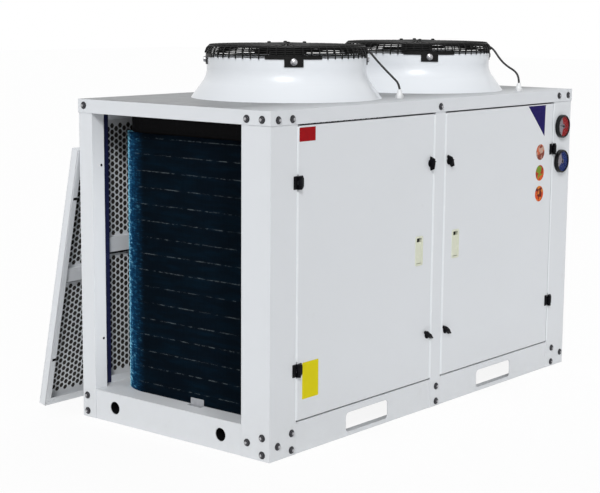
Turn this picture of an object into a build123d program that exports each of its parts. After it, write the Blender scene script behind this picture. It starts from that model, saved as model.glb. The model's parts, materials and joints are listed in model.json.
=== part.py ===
# Monoblock condensing unit with two roof fans, an L-shaped coil, two service doors and one end panel taken off.
# Millimetres, +Z up, +X along the doors, +Y to the back. The origin is the middle of the cabinet on the floor.
from build123d import *
import os
from math import asin, atan2, cos, degrees, pi, radians, sin, sqrt, tan

os.makedirs("parts", exist_ok=True)

# Cabinet sizes
unit_length = 1650.0
unit_depth = 780.0
unit_height = 1000.0
lid_sheet = 2.0
lid_skirt = 42.0
post_sheet = 2.0
rail_sheet = 3.0
rail_height = 92.0
rail_flange = 45.0
pan_sheet = 2.0

# Posts, as the width of each leg seen from outside, and the returns folded into the cabinet
front_post_face = 117.0
front_post_side = 108.0
rear_post_face = 65.0
rear_post_side = 57.0
post_return = 24.0
side_return = 49.0
middle_post_width = 56.0
middle_post_from_left = 826.0
middle_post_return = 16.0

# Doors
door_gap = 5.0
door_depth = 20.0
door_sheet = 1.6
door_lip = 10.0
door_swing_clearance = 5.0

# Fork slots, lifting-bar holes and floor-anchor holes
fork_slot_length = 214.0
fork_slot_height = 60.0
fork_slot_corner = 14.0
fork_slot_centre_height = 43.0
fork_slots_from_left = (465.0, 1182.0)
lift_hole_radius = 20.0
lift_hole_height = 47.6
lift_holes_from_front = (193.0, 637.0)
anchor_hole_radius = 7.0
anchor_spacing_x = 1530.0
anchor_spacing_y = 730.0

# Fans, rings and guards
fans_from_left = (530.0, 1240.0)
fans_from_front = 391.0
ring_radius = 252.0
ring_wall = 4.0
ring_rise = 129.0
ring_bend_height = 68.0
ring_foot_radius = 302.0
ring_bend_radius = 70.0
ring_seat = 6.0
guard_wire = 4.0
guard_seat = 0.3
guard_shoulder_inset = 9.0
guard_shoulder_rise = 35.0
guard_centre_rise = 39.0
guard_first_wire = 8.0
guard_side_pitch = 30.0
guard_top_pitch = 34.0
guard_spokes = 8
guard_cap_radius = 72.0
guard_cap_sheet = 5.0
guard_tip_drop = 12.0
bracket_width = 58.0
bracket_height = 33.0
bracket_sheet = 3.0
bracket_bar_width = 175.0
bracket_bar_height = 10.0
brackets = 4
motor_radius = 55.0
motor_length = 54.0
motor_edge = 8.0
shaft_radius = 10.0
shaft_clearance = 0.1
shaft_nut_radius = 17.0
shaft_nut_length = 6.0
rotor_gap = 5.0
hub_radius = 82.0
hub_length = 60.0
hub_dish = 45.0
hub_wall = 10.0
blade_count = 5
blade_tip_clearance = 10.0
blade_chord_root = 92.0
blade_chord_tip = 150.0
blade_pitch_root = 34.0
blade_pitch_tip = 18.0
blade_thickness = 4.0
end_play = 0.3

# Coil
coil_from_left = 75.0
coil_from_rear = 52.0
coil_core = 66.0
coil_corner_radius = 146.0
coil_from_front = 30.0
coil_top_gap = 98.0
coil_rear_end_gap = 110.0
coil_end_sheet = 3.0
coil_end_width = 12.0
fin_groove_pitch = 20.0
fin_groove_width = 4.0
fin_groove_depth = 8.0

# Ventilated panels, the rear pair and the one taken off the left end
panel_depth = 28.0
panel_sheet = 1.6
panel_lip = 22.0
panel_side_gap = 3.0
panel_top_gap = 4.0
panel_band_height = 46.0
panel_band_depth = 16.0
panel_band_from_foot = 418.0
removed_panel_from_left = -4.0
removed_panel_foot_run = 178.0
removed_panel_width = 605.0
removed_panel_seat = 0.3

# Hinges, knobs, pulls and gauges
hinge_leaf = 20.0
hinge_height = 38.0
hinge_sheet = 5.0
hinge_bevel = 8.0
hinge_edge = 1.0
hinge_barrel_radius = 6.0
hinge_axis_out = 8.0
hinge_pin_radius = 2.5
hinge_pin_clearance = 0.1
hinge_knuckle_gap = 0.3
hinge_heights = (249.0, unit_height - 207.0)
latch_inset = 19.0
latch_heights = (246.0, unit_height - 201.0)
latch_base_radius = 15.0
latch_base_thickness = 3.0
latch_shaft_radius = 6.0
latch_shaft_clearance = 0.1
latch_wing_length = 34.0
latch_wing_width = 9.0
latch_wing_height = 17.0
latch_cam_length = 44.0
latch_cam_width = 14.0
latch_cam_sheet = 3.0
latch_cam_gap = 5.0
pull_width = 32.0
pull_height = 86.0
pull_rim = 4.0
pull_rim_sheet = 1.6
pull_depth = 14.0
pull_wall = 2.0
pull_corner = 6.0
pull_fit = 0.1
pull_centre_height = 525.0
pull_insets = (72.0, 66.0)
gauge_radius = 41.0
gauge_depth = 15.0
gauge_rim = 5.0
gauge_glass_sheet = 2.0
gauge_glass_recess = 2.0
gauge_dial_recess = 7.0
gauge_from_right = 66.0
gauge_edge = 3.0
gauges_below_roof = (254.0, 130.0)

# Cables and their roof glands
cable_radius = 3.5
cable_bearing = -45.0
gland_nut_radius = 13.0
gland_nut_height = 9.0
gland_height = 28.0
gland_tip_radius = 5.0
glands_from_left = (742.0, 1384.0)
glands_from_front = (103.0, 59.0)

# Machinery behind the doors
compressor_radius = 118.0
compressor_height = 430.0
compressor_dome = 40.0
compressor_foot = 260.0
compressor_foot_sheet = 6.0
compressor_rubber_height = 24.0
compressor_rubber_radius = 16.0
compressor_from_left = 1240.0
compressor_from_front = 300.0
receiver_radius = 80.0
receiver_height = 520.0
receiver_dome = 45.0
receiver_from_left = 960.0
receiver_from_front = 230.0
receiver_base_radius = 62.0
receiver_base_height = 30.0

# Places worked out from the sizes
x_left = -unit_length / 2
x_right = unit_length / 2
y_front = -unit_depth / 2
y_rear = unit_depth / 2
post_left = x_left + lid_sheet
post_front = y_front + lid_sheet
post_rear = y_rear - lid_sheet
rail_left = post_left + post_sheet
rail_front = post_front + post_sheet
rail_rear = post_rear - post_sheet
pan_top = rail_height + pan_sheet
lid_under = unit_height - lid_sheet
skirt_foot = unit_height - lid_skirt
door_foot = pan_top + door_swing_clearance
door_top = skirt_foot - door_gap
middle_post = x_left + middle_post_from_left
middle_post_left = middle_post - middle_post_width / 2
middle_post_right = middle_post + middle_post_width / 2
hinge_axis_inset = post_left + front_post_face + door_gap / 2
hinge_axis_y = post_front - hinge_axis_out


def slab(x, y, z, mode=Mode.ADD):
    # A block between two values on each axis
    with Locations(((x[0] + x[1]) / 2, (y[0] + y[1]) / 2, (z[0] + z[1]) / 2)):
        Box(x[1] - x[0], y[1] - y[0], z[1] - z[0], mode=mode)


def folded(points, sheet, side=Side.LEFT):
    # The section of a folded sheet whose outside follows the points
    with BuildSketch() as section:
        with BuildLine():
            Polyline(*points)
            offset(amount=sheet, side=side, kind=Kind.INTERSECTION)
        make_face()
    return section.sketch


def save(part, label):
    part.label = label
    export_step(part, f"parts/{label}.step")


# Base rails: folded channels, open to the inside, the end rails coped to fit between the long ones
def long_rail(label, outside, inward):
    with BuildPart() as rail:
        with BuildSketch(Plane.YZ.offset(rail_left)):
            add(folded(
                [
                    (outside + inward * rail_flange, 0),
                    (outside, 0),
                    (outside, rail_height),
                    (outside + inward * rail_flange, rail_height),
                ],
                rail_sheet,
                Side.RIGHT if inward > 0 else Side.LEFT,
            ))
        extrude(amount=-2 * rail_left)
        with BuildSketch(Plane.XZ.offset(-outside)):
            with Locations(*[(x_left + s, fork_slot_centre_height) for s in fork_slots_from_left]):
                RectangleRounded(fork_slot_length, fork_slot_height, fork_slot_corner)
        extrude(amount=rail_sheet * 2, both=True, mode=Mode.SUBTRACT)
        with BuildSketch(Plane.XY):
            with Locations(*[(sx * anchor_spacing_x / 2, -inward * anchor_spacing_y / 2) for sx in (-1, 1)]):
                Circle(anchor_hole_radius)
        extrude(amount=rail_sheet, mode=Mode.SUBTRACT)
    save(rail.part, label)


long_rail("front_base_rail", rail_front, 1)
long_rail("rear_base_rail", rail_rear, -1)


def end_rail(label, outside, inward):
    web_length = rail_rear - rail_front - 2 * rail_sheet
    flange_length = rail_rear - rail_front - 2 * rail_flange
    with BuildPart() as rail:
        with BuildSketch(Plane.XZ.offset(flange_length / 2)):
            add(folded(
                [
                    (outside + inward * rail_flange, 0),
                    (outside, 0),
                    (outside, rail_height),
                    (outside + inward * rail_flange, rail_height),
                ],
                rail_sheet,
                Side.RIGHT if inward > 0 else Side.LEFT,
            ))
        extrude(amount=-flange_length)
        web_x = sorted((outside, outside + inward * rail_sheet))
        slab(web_x, (-web_length / 2, web_length / 2), (rail_sheet, rail_height - rail_sheet))
        with BuildSketch(Plane.YZ.offset(outside)):
            with Locations(*[(y_front + s, lift_hole_height) for s in lift_holes_from_front]):
                Circle(lift_hole_radius)
        extrude(amount=rail_sheet * 2, both=True, mode=Mode.SUBTRACT)
    save(rail.part, label)


end_rail("left_base_rail", rail_left, 1)
end_rail("right_base_rail", -rail_left, -1)

# Base pan lying on the rails' top flanges
with BuildPart() as base_pan:
    slab((rail_left, -rail_left), (rail_front, rail_rear), (rail_height, pan_top))
save(base_pan.part, "base_pan")


# Corner posts: full-height folded angles lapping over the rails, with inward returns above the pan
def corner_post(label, outer_y, toward_y, face, side, mirrored):
    with BuildPart() as post:
        with BuildSketch(Plane.XY):
            add(folded(
                [
                    (post_left + face, outer_y),
                    (post_left, outer_y),
                    (post_left, outer_y + toward_y * side),
                ],
                post_sheet,
                Side.RIGHT if toward_y > 0 else Side.LEFT,
            ))
        extrude(amount=lid_under)
        face_return = sorted((outer_y, outer_y + toward_y * post_return))
        slab((post_left + face - post_sheet, post_left + face), face_return, (pan_top, lid_under))
        end = outer_y + toward_y * side
        side_sheet = sorted((end, end - toward_y * post_sheet))
        slab((post_left, post_left + side_return), side_sheet, (pan_top, lid_under))
    part = mirror(post.part, about=Plane.YZ, mode=Mode.PRIVATE) if mirrored else post.part
    save(part, label)


for end, mirrored in (("left", False), ("right", True)):
    corner_post(f"front_{end}_post", post_front, 1, front_post_face, front_post_side, mirrored)
    corner_post(f"rear_{end}_post", post_rear, -1, rear_post_face, rear_post_side, mirrored)


# Middle posts: shallow channels between the two doors and between the two rear panels
def channel_post(label, outer_y, toward_y):
    with BuildPart() as post:
        plate = sorted((outer_y, outer_y + toward_y * post_sheet))
        slab((middle_post_left, middle_post_right), plate, (0, lid_under))
        with BuildSketch(Plane.XY.offset(pan_top)):
            add(folded(
                [
                    (middle_post_left, outer_y + toward_y * middle_post_return),
                    (middle_post_left, outer_y),
                    (middle_post_right, outer_y),
                    (middle_post_right, outer_y + toward_y * middle_post_return),
                ],
                post_sheet,
                Side.LEFT if toward_y > 0 else Side.RIGHT,
            ))
        extrude(amount=lid_under - pan_top)
    save(post.part, label)


channel_post("front_middle_post", post_front, 1)
channel_post("rear_middle_post", post_rear, -1)

# Roof: a folded lid with a hole under each fan ring
with BuildPart() as roof:
    slab((x_left, x_right), (y_front, y_rear), (skirt_foot, unit_height))
    slab((post_left, -post_left), (post_front, post_rear), (skirt_foot, lid_under), Mode.SUBTRACT)
    with Locations(*[(x_left + s, y_front + fans_from_front, unit_height) for s in fans_from_left]):
        Cylinder(ring_foot_radius - ring_seat, 4 * lid_sheet, mode=Mode.SUBTRACT)
save(roof.part, "roof_panel")


# Doors: folded trays with an inner lip, cut for the pull and for the two knobs' shafts
def door(label, hinge_side, x0, x1, pull_x, latch_x):
    with BuildPart() as tray:
        slab((x0, x1), (post_front, post_front + door_depth), (door_foot, door_top))
        edges = tray.edges().filter_by(Axis.Z).group_by(Axis.Y)[0]
        fillet(edges, radius=door_sheet)
        slab(
            (x0 + door_sheet, x1 - door_sheet),
            (post_front + door_sheet, post_front + door_depth - door_sheet),
            (door_foot + door_sheet, door_top - door_sheet),
            Mode.SUBTRACT,
        )
        slab(
            (x0 + door_lip, x1 - door_lip),
            (post_front + door_depth - 2 * door_sheet, post_front + door_depth + door_sheet),
            (door_foot + door_lip, door_top - door_lip),
            Mode.SUBTRACT,
        )
        with BuildSketch(Plane.XZ.offset(-post_front)):
            with Locations((pull_x, pull_centre_height)):
                RectangleRounded(pull_width + 2 * pull_fit, pull_height + 2 * pull_fit, pull_corner)
            with Locations(*[(latch_x, z) for z in latch_heights]):
                Circle(latch_shaft_radius + latch_shaft_clearance)
        extrude(amount=2 * door_sheet, both=True, mode=Mode.SUBTRACT)
    save(tray.part, label)


left_door_x0 = post_left + front_post_face + door_gap
left_door_x1 = middle_post_left - door_gap
right_door_x0 = middle_post_right + door_gap
right_door_x1 = -post_left - front_post_face - door_gap
left_pull = left_door_x1 - pull_insets[0]
right_pull = right_door_x0 + pull_insets[1]
left_latch = left_door_x1 - latch_inset
right_latch = right_door_x0 + latch_inset
door("left_door", -1, left_door_x0, left_door_x1, left_pull, left_latch)
door("right_door", 1, right_door_x0, right_door_x1, right_pull, right_latch)


# Flush pulls: a rimmed cup with a finger pocket that undercuts the rim at its top
def pull_handle(label, x):
    with BuildPart() as pull:
        with BuildSketch(Plane.XZ.offset(-post_front)):
            with Locations((x, pull_centre_height)):
                RectangleRounded(pull_width + 2 * pull_rim, pull_height + 2 * pull_rim, pull_corner)
        extrude(amount=pull_rim_sheet)
        with BuildSketch(Plane.XZ.offset(-post_front)):
            with Locations((x, pull_centre_height)):
                RectangleRounded(pull_width, pull_height, pull_corner - pull_fit)
        extrude(amount=-pull_depth)
        with BuildSketch(Plane.XZ.offset(-post_front + pull_rim_sheet)):
            with Locations((x, pull_centre_height)):
                RectangleRounded(pull_width - 2 * pull_wall, pull_height - 2 * pull_wall, pull_corner - 2 * pull_wall)
        extrude(amount=-(pull_depth + pull_rim_sheet - pull_wall), mode=Mode.SUBTRACT)
    save(pull.part, label)


pull_handle("left_pull_handle", left_pull)
pull_handle("right_pull_handle", right_pull)


# Hinges: a leaf with two outer knuckles and the pin on the post, a leaf with the middle knuckle on the door
def hinge_leaf_solid(axis_x, side, centre, low, high):
    # One leaf with its knuckles between the given heights
    leaf_x = sorted((axis_x + side * 0.3, axis_x + side * hinge_leaf))
    foot, head = centre - hinge_height / 2, centre + hinge_height / 2
    with BuildPart() as leaf:
        with BuildSketch(Plane.YZ.offset(leaf_x[0])):
            with BuildLine():
                Polyline(
                    (post_front, foot),
                    (post_front - hinge_edge, foot),
                    (post_front - hinge_sheet, foot + hinge_bevel),
                    (post_front - hinge_sheet, head - hinge_bevel),
                    (post_front - hinge_edge, head),
                    (post_front, head),
                    close=True,
                )
            make_face()
        extrude(amount=leaf_x[1] - leaf_x[0])
        for bottom, top in zip(low, high):
            with BuildSketch(Plane.XY.offset(bottom)):
                with Locations((axis_x, hinge_axis_y)):
                    Circle(hinge_barrel_radius)
                with Locations((axis_x + side * hinge_barrel_radius / 2, hinge_axis_y + hinge_barrel_radius / 2)):
                    Rectangle(hinge_barrel_radius, hinge_barrel_radius)
            extrude(amount=top - bottom)
    return leaf.part


def hinges(end, axis_x, side):
    third = hinge_height / 3
    post_leaves, door_leaves = [], []
    for centre in hinge_heights:
        z = [centre - hinge_height / 2 + i * third for i in range(4)]
        outer_leaf = hinge_leaf_solid(axis_x, side, centre, (z[0], z[2]), (z[1], z[3]))
        with BuildPart() as fixed:
            add(outer_leaf)
            slab(
                (axis_x - hinge_barrel_radius * 1.2, axis_x + hinge_barrel_radius * 1.2),
                (post_front - hinge_sheet - 0.2, post_front),
                (z[1], z[2]),
                Mode.SUBTRACT,
            )
            with Locations((axis_x, hinge_axis_y, centre)):
                Cylinder(hinge_pin_radius, hinge_height)
        with BuildPart() as moving:
            add(hinge_leaf_solid(axis_x, -side, centre, (z[1] + hinge_knuckle_gap,), (z[2] - hinge_knuckle_gap,)))
            for bottom, top in ((z[0] - 1, z[1]), (z[2], z[3] + 1)):
                slab(
                    (axis_x - hinge_barrel_radius * 1.2, axis_x + hinge_barrel_radius * 1.2),
                    (post_front - hinge_sheet - 0.2, post_front),
                    (bottom, top),
                    Mode.SUBTRACT,
                )
            with Locations((axis_x, hinge_axis_y, centre)):
                Cylinder(hinge_pin_radius + hinge_pin_clearance, hinge_height, mode=Mode.SUBTRACT)
        post_leaves.append(fixed.part)
        door_leaves.append(moving.part)
    save(Compound(children=post_leaves), f"{end}_hinge_post_leaves")
    save(Compound(children=door_leaves), f"{end}_hinge_door_leaves")


hinges("left", hinge_axis_inset, -1)
hinges("right", -hinge_axis_inset, 1)


# Wing knobs: a round base and a grip outside, a shaft through the door and a cam behind it
def wing_knob(label, x, z, grip_angle):
    cam_y = post_front + door_depth + latch_cam_gap
    with BuildPart() as knob:
        with BuildSketch(Plane.XZ.offset(-(post_front - end_play))):
            with Locations((x, z)):
                Circle(latch_base_radius)
        extrude(amount=latch_base_thickness)
        with BuildSketch(Plane.XZ.offset(-(post_front - end_play - latch_base_thickness))):
            with Locations(Location((x, z), grip_angle)):
                SlotOverall(latch_wing_length, latch_wing_width)
        extrude(amount=latch_wing_height - latch_base_thickness, taper=6)
        with BuildSketch(Plane.XZ.offset(-(post_front - end_play))):
            with Locations((x, z)):
                Circle(latch_shaft_radius)
        extrude(amount=-(cam_y - post_front + end_play))
        with BuildSketch(Plane.XZ.offset(-cam_y)):
            with Locations((x, z - latch_cam_length / 2 + latch_cam_width / 2)):
                RectangleRounded(latch_cam_width, latch_cam_length, latch_cam_width / 2 - 0.1)
        extrude(amount=-latch_cam_sheet)
    save(knob.part, label)


wing_knob("left_lower_latch", left_latch, latch_heights[0], 20)
wing_knob("left_upper_latch", left_latch, latch_heights[1], 90)
wing_knob("right_lower_latch", right_latch, latch_heights[0], 20)
wing_knob("right_upper_latch", right_latch, latch_heights[1], 90)


# Gauges: a rimmed case on the right post with a sunk dial and a glass disc
gauge_x = x_right - gauge_from_right
gauge_heights = [unit_height - drop for drop in gauges_below_roof]
for height, name in zip(gauge_heights, ("lower", "upper")):
    with BuildPart() as gauge:
        with BuildSketch(Plane.XZ.offset(-post_front)):
            with Locations((gauge_x, height)):
                Circle(gauge_radius)
        extrude(amount=gauge_depth)
        chamfer(gauge.edges().filter_by(GeomType.CIRCLE).sort_by(Axis.Y)[0], length=gauge_edge)
        with BuildSketch(Plane.XZ.offset(-post_front + gauge_depth)):
            with Locations((gauge_x, height)):
                Circle(gauge_radius - gauge_rim)
        extrude(amount=-gauge_dial_recess, mode=Mode.SUBTRACT)
    save(gauge.part, f"{name}_gauge")

glasses = []
for height in gauge_heights:
    with BuildPart() as glass:
        with BuildSketch(Plane.XZ.offset(-post_front + gauge_depth - gauge_glass_recess)):
            with Locations((gauge_x, height)):
                Circle(gauge_radius - gauge_rim)
        extrude(amount=-gauge_glass_sheet)
    glasses.append(glass.part)
save(Compound(children=glasses), "gauge_glasses")


# Fan pieces are made about the origin's axis and then set on the roof, one of each kind per fan
fan_axis = Axis.Z
lip = unit_height + ring_rise
half_wire = guard_wire / 2


def throat_profile(shift):
    return [
        (ring_radius - shift, lip),
        (ring_radius - shift, unit_height + ring_bend_height),
        (ring_foot_radius - shift, unit_height),
    ]


# Fan ring: a straight throat that flares out onto the roof
with BuildPart() as ring:
    with BuildSketch(Plane.XZ):
        with BuildLine():
            outer, inner = throat_profile(0), throat_profile(ring_wall)
            FilletPolyline(*outer, radius=ring_bend_radius)
            FilletPolyline(*inner, radius=ring_bend_radius)
            Line(outer[0], inner[0])
            Line(outer[-1], inner[-1])
        make_face()
    revolve(axis=fan_axis)

# Heights and radii of the guard's bent spokes, from the hooked tip over the lip to the centre cap
shoulder_rise = guard_shoulder_rise + half_wire
slope = atan2(shoulder_rise, guard_shoulder_inset)
spoke_out = ring_radius + (half_wire + guard_seat) / sin(slope)
shoulder_radius = spoke_out - guard_shoulder_inset
cap_under = lip + guard_centre_rise
cap_top = cap_under + guard_cap_sheet - half_wire
first_wire_rise = guard_first_wire + half_wire


def side_radius(rise):
    # Radius of the guard's steep side at a height above the ring's lip
    return spoke_out - guard_shoulder_inset * rise / shoulder_rise


def top_height(radius):
    # Height of the guard's shallow cone at a radius
    share = (shoulder_radius - radius) / (shoulder_radius - guard_cap_radius)
    return lip + shoulder_rise + share * (cap_under - lip - shoulder_rise)


# Guard: bent spokes under concentric wires with a cap in the middle
with BuildPart() as spoke:
    with BuildSketch(Plane.XZ):
        with BuildLine():
            Polyline(
                (spoke_out, lip - guard_tip_drop),
                (spoke_out, lip),
                (shoulder_radius, lip + shoulder_rise),
                (guard_cap_radius - guard_wire, cap_under),
            )
            offset(amount=half_wire, kind=Kind.INTERSECTION)
        make_face()
    extrude(amount=half_wire, both=True)

side_wires = int((shoulder_rise - first_wire_rise - guard_side_pitch / 2) // guard_side_pitch) + 1
top_wires = int((shoulder_radius - guard_cap_radius - guard_top_pitch / 2) // guard_top_pitch) + 1
rises = [first_wire_rise + i * guard_side_pitch for i in range(side_wires)]
radii = [shoulder_radius - i * guard_top_pitch for i in range(top_wires)]
wires = [(side_radius(rise), lip + rise) for rise in rises] + [(r, top_height(r)) for r in radii]
with BuildPart() as guard:
    with Locations((0, 0, cap_top)):
        Cylinder(guard_cap_radius, guard_cap_sheet, align=(Align.CENTER, Align.CENTER, Align.MAX))
    with BuildSketch(Plane.XZ):
        with Locations(*wires):
            Rectangle(guard_wire, guard_wire)
    revolve(axis=fan_axis)
    for i in range(guard_spokes):
        add(spoke.part.rotate(fan_axis, 360 / guard_spokes * (i + 0.5)))

# Clamps curved to the ring just under the guard's first side wire: a long bar with a plate hanging from its middle
bracket_top = lip + guard_first_wire - guard_seat


def clamp_strip(width, height):
    arc = degrees(width / ring_radius)
    with BuildPart() as strip:
        with BuildSketch(Plane.XZ):
            with Locations((ring_radius + guard_seat + bracket_sheet / 2, bracket_top - height / 2)):
                Rectangle(bracket_sheet, height)
        revolve(axis=fan_axis, revolution_arc=arc)
    return strip.part.rotate(fan_axis, -arc / 2)


clamp_plates = []
for i in range(brackets):
    with BuildPart() as clamp:
        add(clamp_strip(bracket_width, bracket_height))
        add(clamp_strip(bracket_bar_width, bracket_bar_height))
    clamp_plates.append(clamp.part.rotate(fan_axis, 360 / brackets * (i + 0.5)))

# Motor: a can under the guard's cap with a shaft and its nut
motor_top = cap_top - guard_cap_sheet
motor_foot = motor_top - motor_length
hub_top = motor_foot - rotor_gap
hub_plate_foot = hub_top - hub_wall
below = (Align.CENTER, Align.CENTER, Align.MAX)
with BuildPart() as motor:
    with Locations((0, 0, motor_top)):
        Cylinder(motor_radius, motor_length, align=below)
    chamfer(motor.faces().sort_by(Axis.Z)[0].edges(), length=motor_edge)
    with Locations((0, 0, motor_foot)):
        Cylinder(shaft_radius, rotor_gap + hub_wall + end_play, align=below)
    with Locations((0, 0, hub_plate_foot - end_play)):
        Cylinder(shaft_nut_radius, shaft_nut_length, align=below)

# Rotor: a hollow hub on the shaft with twisted blades, trimmed round at their tips
tip_radius = ring_radius - ring_wall - blade_tip_clearance
with BuildPart() as blade:
    for radius, chord, pitch in (
        (hub_radius - hub_wall / 2, blade_chord_root, blade_pitch_root),
        (tip_radius + blade_thickness, blade_chord_tip, blade_pitch_tip),
    ):
        with BuildSketch(Plane(origin=(radius, 0, 0), x_dir=(0, 1, 0), z_dir=(1, 0, 0))):
            Rectangle(chord, blade_thickness, rotation=pitch)
    loft(ruled=True)
    Cylinder(tip_radius, 2 * hub_length, mode=Mode.INTERSECT)
with BuildPart() as rotor:
    with Locations((0, 0, hub_top)):
        Cylinder(hub_radius, hub_length, align=below)
    for i in range(blade_count):
        add(blade.part.moved(Location((0, 0, hub_top - hub_length / 2), (0, 0, 360 / blade_count * i))))
    with Locations((0, 0, hub_plate_foot)):
        Cylinder(hub_radius - hub_wall, hub_length, align=below, mode=Mode.SUBTRACT)
    with Locations((0, 0, hub_top)):
        Cylinder(shaft_radius + shaft_clearance, 2 * hub_wall, align=below, mode=Mode.SUBTRACT)

for from_left, end in zip(fans_from_left, ("left", "right")):
    place = Location((x_left + from_left, y_front + fans_from_front, 0))
    save(ring.part.moved(place), f"{end}_fan_ring")
    save(guard.part.moved(place), f"{end}_fan_guard")
    save(Compound(children=[plate.moved(place) for plate in clamp_plates]), f"{end}_guard_brackets")
    save(motor.part.moved(place), f"{end}_fan_motor")
    save(rotor.part.moved(place), f"{end}_fan_rotor")

# Coil: a finned core that turns the rear left corner, with a plate on each end
coil_x = x_left + coil_from_left
coil_y = y_rear - coil_from_rear
coil_front = post_front + coil_from_front
coil_end_x = middle_post_left + coil_rear_end_gap
coil_height = lid_under - pan_top - coil_top_gap
arc_x, arc_y = coil_x + coil_corner_radius, coil_y - coil_corner_radius
left_grooves = int((arc_y - coil_front) // fin_groove_pitch)
rear_grooves = int((coil_end_x - arc_x) // fin_groove_pitch)
arc_grooves = int(coil_corner_radius * pi / 2 // fin_groove_pitch)
with BuildPart() as coil:
    with BuildSketch(Plane.XY.offset(pan_top)):
        with BuildLine():
            FilletPolyline(
                (coil_x, coil_front), (coil_x, coil_y), (coil_end_x, coil_y), radius=coil_corner_radius
            )
            FilletPolyline(
                (coil_x + coil_core, coil_front),
                (coil_x + coil_core, coil_y - coil_core),
                (coil_end_x, coil_y - coil_core),
                radius=max(coil_corner_radius - coil_core, 2),
            )
            Line((coil_x, coil_front), (coil_x + coil_core, coil_front))
            Line((coil_end_x, coil_y), (coil_end_x, coil_y - coil_core))
        make_face()
        # Grooves between the fins, one in eight of the real ones, along both legs and round the corner
        with Locations(*[(coil_x, arc_y - fin_groove_pitch * (i + 0.5)) for i in range(left_grooves)]):
            Rectangle(2 * fin_groove_depth, fin_groove_width, mode=Mode.SUBTRACT)
        with Locations(*[(arc_x + fin_groove_pitch * (i + 0.5), coil_y) for i in range(rear_grooves)]):
            Rectangle(fin_groove_width, 2 * fin_groove_depth, mode=Mode.SUBTRACT)
        for i in range(arc_grooves):
            turn = pi / 2 * (i + 0.5) / arc_grooves
            with Locations(Location(
                (arc_x - coil_corner_radius * cos(turn), arc_y + coil_corner_radius * sin(turn)), -degrees(turn)
            )):
                Rectangle(2 * fin_groove_depth, fin_groove_width, mode=Mode.SUBTRACT)
    extrude(amount=coil_height)
save(coil.part, "condenser_coil")

plates = []
with BuildPart() as front_plate:
    slab(
        (coil_x, coil_x + coil_core + coil_end_width),
        (coil_front - coil_end_sheet, coil_front),
        (pan_top, pan_top + coil_height),
    )
with BuildPart() as rear_plate:
    slab(
        (coil_end_x, coil_end_x + coil_end_sheet),
        (coil_y - coil_core - coil_end_width, coil_y),
        (pan_top, pan_top + coil_height),
    )
save(Compound(children=[front_plate.part, rear_plate.part]), "coil_end_plates")


# Ventilated panels: a tray with an inner lip and a stiffening channel across its middle, standing at the origin
def ventilated_panel(width, height):
    with BuildPart() as panel:
        slab((0, width), (0, panel_depth), (0, height))
        slab(
            (panel_sheet, width - panel_sheet),
            (panel_sheet, panel_depth - panel_sheet),
            (panel_sheet, height - panel_sheet),
            Mode.SUBTRACT,
        )
        slab(
            (panel_lip, width - panel_lip),
            (-panel_sheet, 2 * panel_sheet),
            (panel_lip, height - panel_lip),
            Mode.SUBTRACT,
        )
        band_back = panel_depth - panel_sheet
        with BuildSketch(Plane.YZ.offset(panel_sheet)):
            add(folded(
                [
                    (band_back, panel_band_from_foot),
                    (band_back - panel_band_depth, panel_band_from_foot),
                    (band_back - panel_band_depth, panel_band_from_foot + panel_band_height),
                    (band_back, panel_band_from_foot + panel_band_height),
                ],
                panel_sheet,
                Side.RIGHT,
            ))
        extrude(amount=width - 2 * panel_sheet)
    return panel.part


panel_height = skirt_foot - pan_top - panel_top_gap
rear_left_x0 = post_left + rear_post_face + panel_side_gap
rear_left_x1 = middle_post_left - panel_side_gap
rear_right_x0 = middle_post_right + panel_side_gap
rear_right_x1 = -post_left - rear_post_face - panel_side_gap
for label, x0, x1 in (
    ("left_rear_panel", rear_left_x0, rear_left_x1),
    ("right_rear_panel", rear_right_x0, rear_right_x1),
):
    panel = ventilated_panel(x1 - x0, panel_height)
    save(panel.moved(Location((x0, post_rear - panel_depth, pan_top))), label)

# The left end's own panel, taken off and leaned against the back of the cabinet
lean = degrees(asin(removed_panel_foot_run / panel_height))
removed = ventilated_panel(removed_panel_width, panel_height).moved(
    Location((x_left + removed_panel_from_left, post_rear + removed_panel_foot_run + removed_panel_seat, 0), (lean, 0, 0))
)
save(removed, "removed_end_panel")

# Right end panel: a plain folded tray between the two right posts
with BuildPart() as end_panel:
    y0 = post_front + front_post_side + panel_side_gap
    y1 = post_rear - rear_post_side - panel_side_gap
    slab((-post_left - panel_depth, -post_left), (y0, y1), (pan_top, skirt_foot - panel_top_gap))
    slab(
        (-post_left - panel_depth - panel_sheet, -post_left - panel_sheet),
        (y0 + panel_sheet, y1 - panel_sheet),
        (pan_top + panel_sheet, skirt_foot - panel_top_gap - panel_sheet),
        Mode.SUBTRACT,
    )
save(end_panel.part, "right_end_panel")

# Roof glands: a nut and a tapered strain relief
glands = []
gland_tops = []
for from_left, from_front in zip(glands_from_left, glands_from_front):
    x, y = x_left + from_left, y_front + from_front
    with BuildPart() as gland:
        with BuildSketch(Plane.XY.offset(unit_height)):
            with Locations((x, y)):
                RegularPolygon(gland_nut_radius, 6)
        extrude(amount=gland_nut_height)
        with Locations((x, y, unit_height + gland_nut_height)):
            Cone(
                gland_nut_radius - 2,
                gland_tip_radius,
                gland_height - gland_nut_height,
                align=(Align.CENTER, Align.CENTER, Align.MIN),
            )
    glands.append(gland.part)
    gland_tops.append((x, y, unit_height + gland_height))
save(Compound(children=glands), "cable_glands")


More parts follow.
